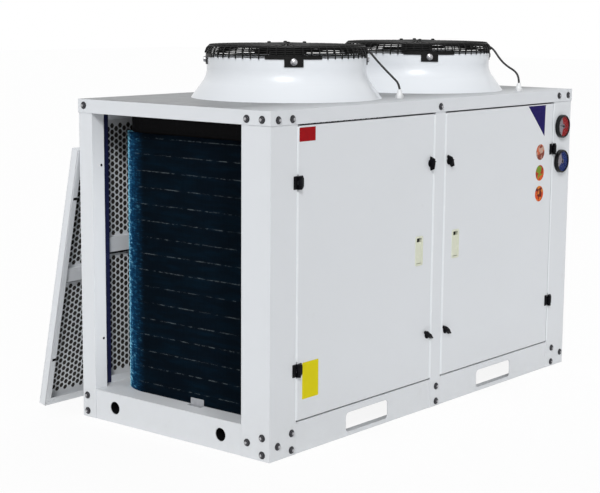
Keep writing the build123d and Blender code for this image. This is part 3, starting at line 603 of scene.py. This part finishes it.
def piercedSheet(mesh, width, height, s):
    apothem, corner = s["hole"] / 2, s["hole"] / sqrt(3)
    step = s["pitch"] * sqrt(3) / 2
    columns = int((width - 2 * s["margin"]) / step)
    firstX = (width - columns * step) / 2
    centres = []
    for low, high in s["areas"]:
        for i in range(columns + 1):
            offset = s["pitch"] / 2 * (i % 2)
            z = low + apothem + offset
            while z + apothem <= high:
                centres.append((firstX + i * step, z))
                z += s["pitch"]
    points = [(0, 0), (width, 0), (width, height), (0, height)]
    edges = [(0, 1), (1, 2), (2, 3), (3, 0)]
    for x, z in centres:
        first = len(points)
        points += [(x + corner * cos(pi / 3 * k), z + corner * sin(pi / 3 * k)) for k in range(6)]
        edges += [(first + k, first + (k + 1) % 6) for k in range(6)]
    inset, (slotLow, slotHigh) = s["slotInset"], s["slot"]
    first = len(points)
    points += [(inset, slotLow), (width - inset, slotLow), (width - inset, slotHigh), (inset, slotHigh)]
    edges += [(first + k, first + (k + 1) % 4) for k in range(4)]
    flat, _, triangles, *_ = delaunay_2d_cdt([Vector(p) for p in points], edges, [], 0, 1e-7)
    grid = {}
    for x, z in centres:
        grid.setdefault((int(x / 0.02), int(z / 0.02)), []).append((x, z))

    def inHole(x, z):
        if inset < x < width - inset and slotLow < z < slotHigh:
            return True
        a, b = int(x / 0.02), int(z / 0.02)
        near = (c for i in (-1, 0, 1) for j in (-1, 0, 1) for c in grid.get((a + i, b + j), ()))
        return any((x - cx) ** 2 + (z - cz) ** 2 < apothem ** 2 for cx, cz in near)

    outer, inner = s["depth"], s["depth"] - s["sheet"]
    front = [mesh.verts.new((p.x, outer, p.y)) for p in flat]
    back = [mesh.verts.new((p.x, inner, p.y)) for p in flat]
    used = {}
    for triangle in triangles:
        x = sum(flat[i].x for i in triangle) / 3
        z = sum(flat[i].y for i in triangle) / 3
        if inHole(x, z):
            continue
        mesh.faces.new([front[i] for i in triangle])
        mesh.faces.new([back[i] for i in reversed(triangle)])
        for a, b in zip(triangle, triangle[1:] + triangle[:1]):
            used[(a, b)] = True
    for a, b in used:
        if (b, a) not in used:
            mesh.faces.new((front[b], front[a], back[a], back[b]))
    return len(centres)


def panelMesh(width, height, s):
    mesh = bmesh.new()
    holes = piercedSheet(mesh, width, height, s)
    depth, sheet, lip, gap, bend = s["depth"], s["sheet"], s["lip"], s["mitreGap"], s["bend"]
    for x in (0, width - sheet):
        block(mesh, (x, 0.0002, 0), (x + sheet, depth - sheet, height), bevel=bend * 0.5)
    for z in (0, height - sheet):
        block(mesh, (sheet, 0.0002, z), (width - sheet, depth - sheet, z + sheet), bevel=bend * 0.5)
    corners = [(0, 0, 1, 1), (width, 0, -1, 1), (width, height, -1, -1), (0, height, 1, -1)]
    for k in range(4):  # mitred lips facing inwards
        (x0, z0, sx0, sz0), (x1, z1, sx1, sz1) = corners[k], corners[(k + 1) % 4]
        along = Vector((x1 - x0, z1 - z0)).normalized() * gap
        ring = [
            (x0 + along.x, z0 + along.y), (x1 - along.x, z1 - along.y),
            (x1 + sx1 * lip - along.x, z1 + sz1 * lip - along.y), (x0 + sx0 * lip + along.x, z0 + sz0 * lip + along.y),
        ]
        top = [mesh.verts.new((x, 0.0, z)) for x, z in ring]
        under = [mesh.verts.new((x, sheet, z)) for x, z in ring]
        mesh.faces.new(top)
        mesh.faces.new(under)
        for i in range(4):
            j = (i + 1) % 4
            mesh.faces.new((top[i], top[j], under[j], under[i]))
    foot, head, back = s["bandFoot"], s["bandFoot"] + s["bandHeight"], depth - sheet
    face = back - s["bandDepth"]
    block(mesh, (sheet, face, foot), (width - sheet, face + sheet, head), bevel=bend)
    block(mesh, (sheet, face + sheet, foot), (width - sheet, back, foot + sheet))
    block(mesh, (sheet, face + sheet, head - sheet), (width - sheet, back, head))
    return mesh, holes


def netMesh(width, height, s):
    mesh = bmesh.new()
    middle = s["depth"] - s["sheet"] / 2
    (low, _), (upperLow, high) = s["areas"]
    # the lower net also fills the slot under the band, where it paints the dark line of shade
    for foot, head in ((low - 0.004, s["slot"][1]), (upperLow - 0.004, high + 0.004)):
        block(mesh, (s["slotInset"], middle - 0.0002, foot), (width - s["slotInset"], middle + 0.0002, head))
    return mesh


def makePanels(s):
    for end in ("left", "right"):
        low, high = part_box(f"{end}_rear_panel")
        place = Matrix.Translation(low)
        mesh, holes = panelMesh(high.x - low.x, high.z - low.z, s)
        net = netMesh(high.x - low.x, high.z - low.z, s)
        mesh.transform(place)
        net.transform(place)
        panel = addPiece(f"{end}PiercedPanel", mesh, ["cabinet"], "cabinet")
        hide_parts(f"{end}_rear_panel")
        addPiece(f"{end}ShadeNet", net, ["net"], "cabinet")
        print(f"{end} rear panel: {holes} holes")
    low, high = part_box("left_rear_panel")
    navyStrip = bmesh.new()  # navy strip on the lip that meets the corner post
    block(navyStrip, (low.x + 0.003, low.y - s["stripDepth"], low.z + 0.001), (low.x + 0.003 + s["stripWidth"], low.y, high.z - 0.001), bevel=0.0006)
    addPiece("leftPanelNavyStrip", navyStrip, ["navyStrip"], "cabinet")
    low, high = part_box("removed_end_panel")
    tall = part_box("left_rear_panel")[1].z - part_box("left_rear_panel")[0].z
    lean = asin(s["footRun"] / tall)
    foot = high.y - s["depth"] * cos(lean)
    place = Matrix.Translation((low.x, foot, 0)) @ Matrix.Rotation(lean, 4, "X")
    mesh, holes = panelMesh(high.x - low.x, tall, s)
    net = netMesh(high.x - low.x, tall, s)
    mesh.transform(place)
    net.transform(place)
    panel = addPiece("removedPiercedPanel", mesh, ["cabinet"], "cabinet")
    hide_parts("removed_end_panel")
    addPiece("removedShadeNet", net, ["net"], "cabinet")
    # near-black patches on the lip: painted shade in its slots
    screws = bmesh.new()
    halfWide, halfTall = s["lipSlotSize"]
    for z in s["lipSlots"]:
        flatShape(screws, [(s["lipSlotPlace"] + a * halfWide, z + b * halfTall) for a, b in ((-1, -1), (1, -1), (1, 1), (-1, 1))], 0.0002, 0.0008)
    screws.transform(place)
    addPiece("removedPanelSlotShade", screws, ["shadeBlack"], "cabinet")


makePanels(panelSet)

# Wire guards: hooked radial wires over rings, a cap in the middle and bolts at the clamps
guardSet = {
    "ringRadius": 0.252, "out": 0.0050, "shoulderIn": 0.009, "shoulderRise": 0.035, "centreRise": 0.037, "wire": 0.0021,
    "spokes": 60, "tipDrop": 0.002, "barTop": 0.010, "barHalf": 20, "sideRings": [0.009, 0.0145, 0.032],
    "openRings": [0.0205, 0.0265], "openFrom": 315, "openTo": 669, "topPitch": 0.0098, "cap": 0.072, "capSheet": 0.005, "clamps": 4, "boltRadius": 0.0105, "clampFace": 0.2555,
}


def makeGuards(s):
    for end in ("left", "right"):
        low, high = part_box(f"{end}_fan_ring")
        x, y, lip = (low.x + high.x) / 2, (low.y + high.y) / 2, high.z
        outer = s["ringRadius"] + s["out"]
        shoulder = outer - s["shoulderIn"]

        def at(radius, angle, z):
            return (x + radius * cos(angle), y + radius * sin(angle), z)

        def topAt(radius):
            share = (shoulder - radius) / (shoulder - s["cap"])
            return lip + s["shoulderRise"] + share * (s["centreRise"] - s["shoulderRise"])

        runs = []
        for i in range(s["spokes"]):
            angle = 2 * pi * (i + 0.5) / s["spokes"]
            offClamp = min(abs((angle - pi / 4 - k * pi / 2 + pi) % (2 * pi) - pi) for k in range(s["clamps"]))
            tip = lip + s["barTop"] if offClamp < radians(s["barHalf"]) else lip - s["tipDrop"]
            runs.append(([
                at(outer, angle, tip), at(outer, angle, lip + 0.012), at(outer - s["shoulderIn"] * 0.55, angle, lip + s["shoulderRise"] * 0.72),
                at(shoulder - 0.006, angle, lip + s["shoulderRise"]), at(shoulder - 0.03, angle, topAt(shoulder - 0.03)),
                at(s["cap"] - 0.004, angle, topAt(s["cap"])),
            ], False))
        rows = [(outer - s["shoulderIn"] * rise / s["shoulderRise"] - 0.0035, lip + rise) for rise in s["sideRings"]]
        radius = shoulder - 0.008
        while radius > s["cap"] + 0.006:
            rows.append((radius, topAt(radius) - 0.0035))
            radius -= s["topPitch"]
        for radius, z in rows:
            count = 96 if radius > 0.15 else 60
            runs.append(([at(radius, 2 * pi * i / count, z) for i in range(count)], True))
        for rise in s["openRings"]:  # these stop at the spokes on either side of the cable
            radius, steps = outer - s["shoulderIn"] * rise / s["shoulderRise"] - 0.0035, 94
            turns = [radians(s["openFrom"] + (s["openTo"] - s["openFrom"]) * k / steps) for k in range(steps + 1)]
            runs.append(([at(radius, turn, lip + rise) for turn in turns], False))
        guard = wireCurve(f"{end}WireGuard", runs, s["wire"], "blackWire", "cabinet")
        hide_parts(f"{end}_fan_guard")
        mesh = bmesh.new()
        capTop = lip + s["centreRise"] + s["capSheet"]
        turned(mesh, [(0, capTop - 0.002), (0.030, capTop - 0.002), (0.034, capTop), (s["cap"] - 0.006, capTop),
                      (s["cap"], capTop - 0.003), (s["cap"], capTop - s["capSheet"]), (0, capTop - s["capSheet"])],
               (x, y, 0), (0, 0, 1), 48)
        bolts = bmesh.new()
        for k in range(s["clamps"]):
            angle = pi / 4 + k * pi / 2
            turned(mesh, [(0.006, 0), (0.006, 0.003), (0.0035, 0.0045), (0, 0.0045)], at(0.056, angle, capTop), (0, 0, 1), 12)
            turned(bolts, [(s["boltRadius"], 0), (s["boltRadius"], 0.001), (0.0088, 0.0018), (0.0085, 0.006), (0.0065, 0.0075),
                           (0.0, 0.0082)], at(s["clampFace"], angle, lip - 0.010), (cos(angle), sin(angle), 0), 16)
        addPiece(f"{end}GuardCap", mesh, ["blackWire"], "cabinet", 40)
        addPiece(f"{end}ClampBolts", bolts, ["chrome"], "cabinet", 40)
        print(f"{end} guard: {len(rows)} rings")


makeGuards(guardSet)

# Coil: corrugated coated fins round the corner, with their tubes behind the edges
coilSet = {
    "core": 0.066, "corner": 0.146, "pitch": 0.0028, "folds": 6, "wave": 0.0014, "tubeRows": [0.018, 0.044],
    "tubePitch": 0.0508, "tubeRadius": 0.0048, "clipEnds": (-0.068, -0.014), "clipHeight": 0.021, "clipSheet": 0.0012, "shadeSheetFaces": (0.014, 0.0152), "shadeSheetHead": 0.9975,
}


def coilPath(distance, low, high, s):
    # A point on the outer face and the inward direction there, at a distance along the path from the front
    x, y, r = low.x, high.y, s["corner"]
    firstLeg = (y - r) - low.y
    arc = r * pi / 2
    if distance < firstLeg:
        return Vector((x, low.y + distance, 0)), Vector((1, 0, 0))
    if distance < firstLeg + arc:
        turn = (distance - firstLeg) / r
        return Vector((x + r - r * cos(turn), y - r + r * sin(turn), 0)), Vector((cos(turn), -sin(turn), 0))
    return Vector((x + r + distance - firstLeg - arc, y, 0)), Vector((0, -1, 0))


def makeCoil(s):
    low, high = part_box("condenser_coil")
    length = (high.y - s["corner"] - low.y) + s["corner"] * pi / 2 + (high.x - low.x - s["corner"])
    mesh = bmesh.new()
    count = int(length / s["pitch"])
    for i in range(count + 1):
        foot, inward = coilPath(0.002 + (length - 0.004) * i / count, low, high, s)
        across = Vector((-inward.y, inward.x, 0))
        rows = []
        for k in range(s["folds"] + 1):
            swing = s["wave"] * (0.5 if k in (0, s["folds"]) else 1) * (1 if k % 2 else -1)
            point = foot + inward * (s["core"] * k / s["folds"] + 0.0003 * (i % 3) * (k == 0)) + across * swing
            rows.append([mesh.verts.new((point.x, point.y, z)) for z in (low.z, high.z)])
        for near, far in zip(rows, rows[1:]):
            mesh.faces.new((near[0], far[0], far[1], near[1]))
    fins = addPiece("coilFins", mesh, ["coil"], "cabinet")
    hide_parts("condenser_coil")
    runs = []
    z = low.z + s["tubePitch"] * 0.5
    while z < high.z - 0.012:
        for row, depth in enumerate(s["tubeRows"]):
            level = z + row * s["tubePitch"] / 2
            if level > high.z - 0.008:
                continue
            stops = [0.001] + [length * k / 60 for k in range(1, 60)] + [length - 0.001]
            line = []
            for distance in stops:
                foot, inward = coilPath(distance, low, high, s)
                line.append(foot + inward * depth + Vector((0, 0, level)))
            runs.append((line, False))
        z += s["tubePitch"]
    wireCurve("coilTubes", runs, s["tubeRadius"], "copper", "cabinet", 1)
    shadeSheet = bmesh.new()  # near-black sheet between the coil and the roof, painted shade for the dark space there
    stops = [0.004 + (length - 0.008) * k / 60 for k in range(61)]
    rows = []
    for distance in stops:
        foot, inward = coilPath(distance, low, high, s)
        rows.append([shadeSheet.verts.new((*(foot + inward * depth).xy, z)) for depth in s["shadeSheetFaces"] for z in (high.z + 0.0005, s["shadeSheetHead"])])
    for near, far in zip(rows, rows[1:]):
        for a, b in ((0, 1), (1, 3), (3, 2), (2, 0)):
            shadeSheet.faces.new((near[a], near[b], far[b], far[a]))
    for row in (rows[0], rows[-1]):
        shadeSheet.faces.new((row[0], row[1], row[3], row[2]))
    addPiece("coilTopShadeSheet", shadeSheet, ["shadeBlack"], "cabinet")
    clip = bmesh.new()  # small zinc clip that holds the coil's foot to the pan
    x, (y0, y1), tall, sheet = low.x, s["clipEnds"], s["clipHeight"], s["clipSheet"]
    block(clip, (x - 0.004, y0, low.z + 0.0002), (x - 0.004 + sheet, y1, low.z + tall), bevel=0.0004)
    block(clip, (x - 0.020, y0, low.z + 0.0002), (x - 0.004, y1, low.z + sheet), bevel=0.0004)
    addPiece("coilFootClip", clip, ["zinc"], "cabinet")
    print("coil:", count + 1, "fins")


makeCoil(coilSet)

# Gauge faces: a pale centre, a coloured band, ticks and a pointer
dialSet = {"faceDeep": 0.0103, "face": 0.0355, "band": (0.0085, 0.0350), "bandFrom": 110, "ticks": 41, "sweep": 270, "pointer": 0.026}


def makeDials(s):
    for which, band, reading in (("upper", "dialRed", 55), ("lower", "dialBlue", 120)):
        low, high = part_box(f"{which}_gauge")
        x, z, y = (low.x + high.x) / 2, (low.z + high.z) / 2, high.y - s["faceDeep"]
        mesh = bmesh.new()
        turned(mesh, [(s["face"], 0), (s["face"], 0.0004), (0, 0.0004)], (x, y, z), (0, -1, 0), 40)
        inner, outer = s["band"]
        arc = 250 if which == "lower" else 220  # the lower dial's band runs further round
        for i in range(48):
            a, b = [radians(s["bandFrom"] - arc * k / 48) for k in (i, i + 1)]
            points = [(x + r * cos(t), z + r * sin(t)) for r, t in ((inner, a), (outer, a), (outer, b), (inner, b))]
            flatShape(mesh, points, y - 0.0004, 0.0002, 1)
        for i in range(s["ticks"]):
            t = radians(225 - s["sweep"] * i / (s["ticks"] - 1))
            r0, half = (0.0265 if i % 5 == 0 else 0.030), (0.0005 if i % 5 == 0 else 0.0003)
            side = Vector((-sin(t), cos(t))) * half
            a, b = Vector((cos(t), sin(t))) * r0, Vector((cos(t), sin(t))) * 0.0335
            points = [(x + p.x, z + p.y) for p in (a - side, b - side, b + side, a + side)]
            flatShape(mesh, points, y - 0.0006, 0.0002, 2)
        t = radians(225 - reading)
        side, tip, tail = Vector((-sin(t), cos(t))), Vector((cos(t), sin(t))) * s["pointer"], Vector((cos(t), sin(t))) * -0.008
        points = [(x + p.x, z + p.y) for p in (tail - side * 0.0018, tip - side * 0.0004, tip + side * 0.0004, tail + side * 0.0018)]
        flatShape(mesh, points, y - 0.0012, 0.0005, 2)
        turned(mesh, [(0.0042, 0), (0.0042, 0.0016), (0.002, 0.0022), (0, 0.0022)], (x, y - 0.0004, z), (0, -1, 0), 16, 2)
        addPiece(f"{which}GaugeDial", mesh, ["dialWhite", band, "dialInk"], "cabinet")


makeDials(dialSet)
print("dials drawn")

# Plain stickers on the doors: places and sizes in metres
stickerSet = {
    "thickness": 0.0003,
    "yellow": ((-0.679, 0.158), (-0.605, 0.267)),
    "red": ((-0.699, 0.908), (-0.627, 0.948)),
    "triangle": [(0.529, 0.9525), (0.651, 0.9525), (0.648, 0.836)],
    "discs": [(0.622, 0.787, "patchUpper"), (0.622, 0.714, "patchMiddle"), (0.622, 0.641, "patchLower")],
    "discRadius": 0.0275,
}


def roundedRectangle(low, high, radius):
    points = []
    for cx, cz, first in ((high[0], high[1], 0), (low[0], high[1], 90), (low[0], low[1], 180), (high[0], low[1], 270)):
        sx, sz = (-1 if cx == high[0] else 1), (-1 if cz == high[1] else 1)
        for k in range(5):
            t = radians(first + 22.5 * k)
            points.append((cx + sx * radius + radius * cos(t), cz + sz * radius + radius * sin(t)))
    return points


def makeStickers(s):
    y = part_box("left_door")[0].y
    for name, finish, radius in (("yellow", "yellowFilm", 0.003), ("red", "redFilm", 0.002)):
        mesh = bmesh.new()
        flatShape(mesh, roundedRectangle(*s[name], radius), y, s["thickness"])
        addPiece(f"{name}Sticker", mesh, [finish], "left_door_body")
    mesh = bmesh.new()
    flatShape(mesh, s["triangle"], y, s["thickness"])
    middle = sum((Vector(p) for p in s["triangle"]), Vector((0, 0))) / 3
    flatShape(mesh, [tuple(middle + (Vector(p) - middle) * 0.94) for p in s["triangle"]], y - s["thickness"], 0.0001, 1)
    addPiece("triangleSticker", mesh, ["whiteFilm", "navyFilm"], "right_door_body")
    for i, (x, z, finish) in enumerate(s["discs"]):
        mesh = bmesh.new()
        turned(mesh, [(s["discRadius"], 0), (s["discRadius"], s["thickness"]), (0, s["thickness"])], (x, y, z), (0, -1, 0), 40)
        addPiece(f"roundSticker{i + 1}", mesh, [finish], "right_door_body")


makeStickers(stickerSet)
print("stickers laid")

# Pull inserts: a sloped ivory flap that leaves a finger slot at the top, with a near-black back as painted shade
flapSet = {"slot": 0.017, "wall": 0.0062, "foot": 0.0018}


def makeFlaps(s):
    for end in ("left", "right"):
        low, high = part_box(f"{end}_pull_handle")
        face, back = low.y + 0.0012, high.y - 0.0022
        x0, x1 = low.x + s["wall"], high.x - s["wall"]
        z0, z1 = low.z + s["wall"], high.z - s["wall"]
        top, foot = z1 - s["slot"], z0 + s["foot"]
        mesh = bmesh.new()
        profile = [(face, foot), (face, top), (face + 0.003, top + 0.004), (face + 0.0045, top + 0.0035),
                   (face + 0.002, top - 0.001), (face + 0.002, foot)]
        left = [mesh.verts.new((x0, y, z)) for y, z in profile]
        right = [mesh.verts.new((x1, y, z)) for y, z in profile]
        mesh.faces.new(left)
        mesh.faces.new(right)
        for i in range(len(profile)):
            j = (i + 1) % len(profile)
            mesh.faces.new((left[i], left[j], right[j], right[i]))
        # near-black back in the cup: painted shade in the finger slot
        slotShade = bmesh.new()
        block(slotShade, (x0, back - 0.0012, z0), (x1, back - 0.0002, z1))
        addPiece(f"{end}PullFlap", mesh, ["pull"], f"{end}_door_body")
        addPiece(f"{end}PullSlotShade", slotShade, ["shadeBlack"], f"{end}_door_body")


makeFlaps(flapSet)
print("pull flaps set")

# Wing latches: a sharp wedge that tapers to a point, on a round base, with a small pin at its front
latchSet = {
    "outline": [(-0.020, -0.0045), (-0.0215, 0.0), (-0.020, 0.0045), (0.0, 0.0062), (0.024, 0.0008), (0.024, -0.0008), (0.0, -0.0062)],
    "base": 0.0120, "baseDeep": 0.003, "reach": 0.0165, "taper": 0.72, "pinRadius": 0.0016, "pinReach": 0.0215, "pinAlong": -0.006,
    "turns": {"left_upper_latch": 270, "left_lower_latch": 322, "right_upper_latch": 300, "right_lower_latch": 318},
    "front": 0.3882, "cam": (0.0138, 0.0440, 0.0030), "shaft": 0.0060, "camFace": 0.3630,
}


def makeLatches(s):
    for name, turn in s["turns"].items():
        low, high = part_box(name)
        side = -1 if name.startswith("left") else 1
        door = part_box("left_door")[1].x - 0.019 if side < 0 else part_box("right_door")[0].x + 0.019
        z = 0.246 if "lower" in name else 0.799
        along = Vector((cos(radians(turn)), 0, sin(radians(turn))))
        across = Vector((-along.z, 0, along.x))
        centre = Vector((door, -s["front"], z))
        mesh = bmesh.new()
        turned(mesh, [(s["base"], 0), (s["base"], s["baseDeep"] * 0.6), (s["base"] * 0.9, s["baseDeep"]), (0, s["baseDeep"])],
               centre, (0, -1, 0), 28)
        root, tip = [[mesh.verts.new(centre + (along * a + across * b) * shrink + Vector((0, -deep, 0))) for a, b in s["outline"]]
                     for shrink, deep in ((1, s["baseDeep"] * 0.5), (s["taper"], s["reach"]))]
        mesh.faces.new(root)
        mesh.faces.new(tip)
        for i in range(len(root)):
            j = (i + 1) % len(root)
            mesh.faces.new((root[i], root[j], tip[j], tip[i]))
        foot = centre + along * s["pinAlong"] + Vector((0, -s["reach"] * 0.98, 0))
        turned(mesh, [(s["pinRadius"], 0), (s["pinRadius"], s["pinReach"] - s["reach"]), (0, s["pinReach"] - s["reach"] + 0.001)],
               foot, (0, -1, 0), 10)
        turned(mesh, [(0, 0), (s["shaft"], 0), (s["shaft"], s["front"] - s["camFace"]), (0, s["front"] - s["camFace"])],
               centre, (0, 1, 0), 16)
        wide, tall, sheet = s["cam"]
        block(mesh, (door - wide / 2, -s["camFace"], low.z), (door + wide / 2, -s["camFace"] + sheet, low.z + tall), bevel=0.0008)
        wing = addPiece(f"{name}_wing", mesh, ["blackPlastic"], f"{name}_body")
        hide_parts(name)


makeLatches(latchSet)
print("latches set")

# Floor, backdrop and soft studio light
studioSet = {"floor": (0.94, 0.94, 0.94), "whiteness": 0.90, "sun": 2.15, "sunWay": (0.665, 0.485, -0.568), "sunSize": 14, "sky": 0.445,
    "backSun": 0.9, "backSunWay": (-0.62, -0.74, -0.26), "backSunSize": 40,
    "fill": 0.36, "fillPlace": (-0.802, -0.24, 0.50), "fillSize": (0.02, 0.75), "fillSpread": 60,
}


def makeStudio(s):
    mesh = bmesh.new()
    bmesh.ops.create_grid(mesh, x_segments=1, y_segments=1, size=30)
    data = bpy.data.meshes.new("floor")
    mesh.to_mesh(data)
    mesh.free()
    floor = bpy.data.objects.new("floor", data)
    floor.location.z = -0.0005
    bpy.context.scene.collection.objects.link(floor)
    finish = Finish("floor_paper", IOR=1.3)
    finish.set(Base_Color=(*s["floor"], 1), Roughness=1.0)
    # The floor shows white to the camera and in metal, and still keeps the object's shadow
    path = finish.node("LightPath", output="Is Camera Ray")
    mirror = finish.node("LightPath", output="Is Glossy Ray")
    shade = finish.tree.nodes.new("ShaderNodeEmission")
    shade.inputs["Color"].default_value = (1, 1, 1, 1)
    mix = finish.tree.nodes.new("ShaderNodeMixShader")
    finish.tree.links.new(finish.surface.outputs[0], mix.inputs[1])
    finish.tree.links.new(shade.outputs[0], mix.inputs[2])
    mask = (path + mirror) * s["whiteness"]
    finish.tree.links.new(mask.socket, mix.inputs[0])
    output = next(n for n in finish.tree.nodes if n.type == "OUTPUT_MATERIAL")
    finish.tree.links.new(mix.outputs[0], output.inputs[0])
    data.materials.append(finish.material)

    for name, key in (("keyLight", "sun"), ("backLight", "backSun")):
        sun = bpy.data.lights.new(name, "SUN")
        sun.energy, sun.angle = s[key], radians(s[f"{key}Size"])
        lamp = bpy.data.objects.new(name, sun)
        lamp.rotation_euler = Vector(s[f"{key}Way"]).to_track_quat("-Z", "Y").to_euler()
        lamp.visible_glossy = key == "sun"
        bpy.context.scene.collection.objects.link(lamp)

    fill = bpy.data.lights.new("fillLight", "AREA")  # a soft strip that reaches in behind the open end
    fill.energy, fill.shape = s["fill"], "RECTANGLE"
    fill.size, fill.size_y = s["fillSize"]
    fill.spread = radians(s["fillSpread"])
    lamp = bpy.data.objects.new("fillLight", fill)
    lamp.location = s["fillPlace"]
    lamp.rotation_euler = (radians(90), 0, 0)
    lamp.visible_camera = lamp.visible_glossy = False
    bpy.context.scene.collection.objects.link(lamp)

    world = bpy.data.worlds.new("studio")
    bpy.context.scene.world = world
    world.use_nodes = True
    tree = world.node_tree
    tree.nodes.clear()
    light = tree.nodes.new("ShaderNodeLightPath")
    sky = tree.nodes.new("ShaderNodeBackground")
    sky.inputs["Strength"].default_value = s["sky"]
    white = tree.nodes.new("ShaderNodeBackground")
    mix = tree.nodes.new("ShaderNodeMixShader")
    both = tree.nodes.new("ShaderNodeMath")
    both.operation, both.use_clamp = "ADD", True
    for node in (sky, white):
        node.inputs["Color"].default_value = (1, 1, 1, 1)
    white.inputs["Strength"].default_value = 1
    output = tree.nodes.new("ShaderNodeOutputWorld")
    tree.links.new(light.outputs["Is Camera Ray"], both.inputs[0])
    tree.links.new(light.outputs["Is Glossy Ray"], both.inputs[1])
    tree.links.new(both.outputs[0], mix.inputs[0])
    tree.links.new(sky.outputs[0], mix.inputs[1])
    tree.links.new(white.outputs[0], mix.inputs[2])
    tree.links.new(mix.outputs[0], output.inputs[0])
    bpy.context.scene.view_settings.view_transform = "Standard"


makeStudio(studioSet)
print("studio lit")
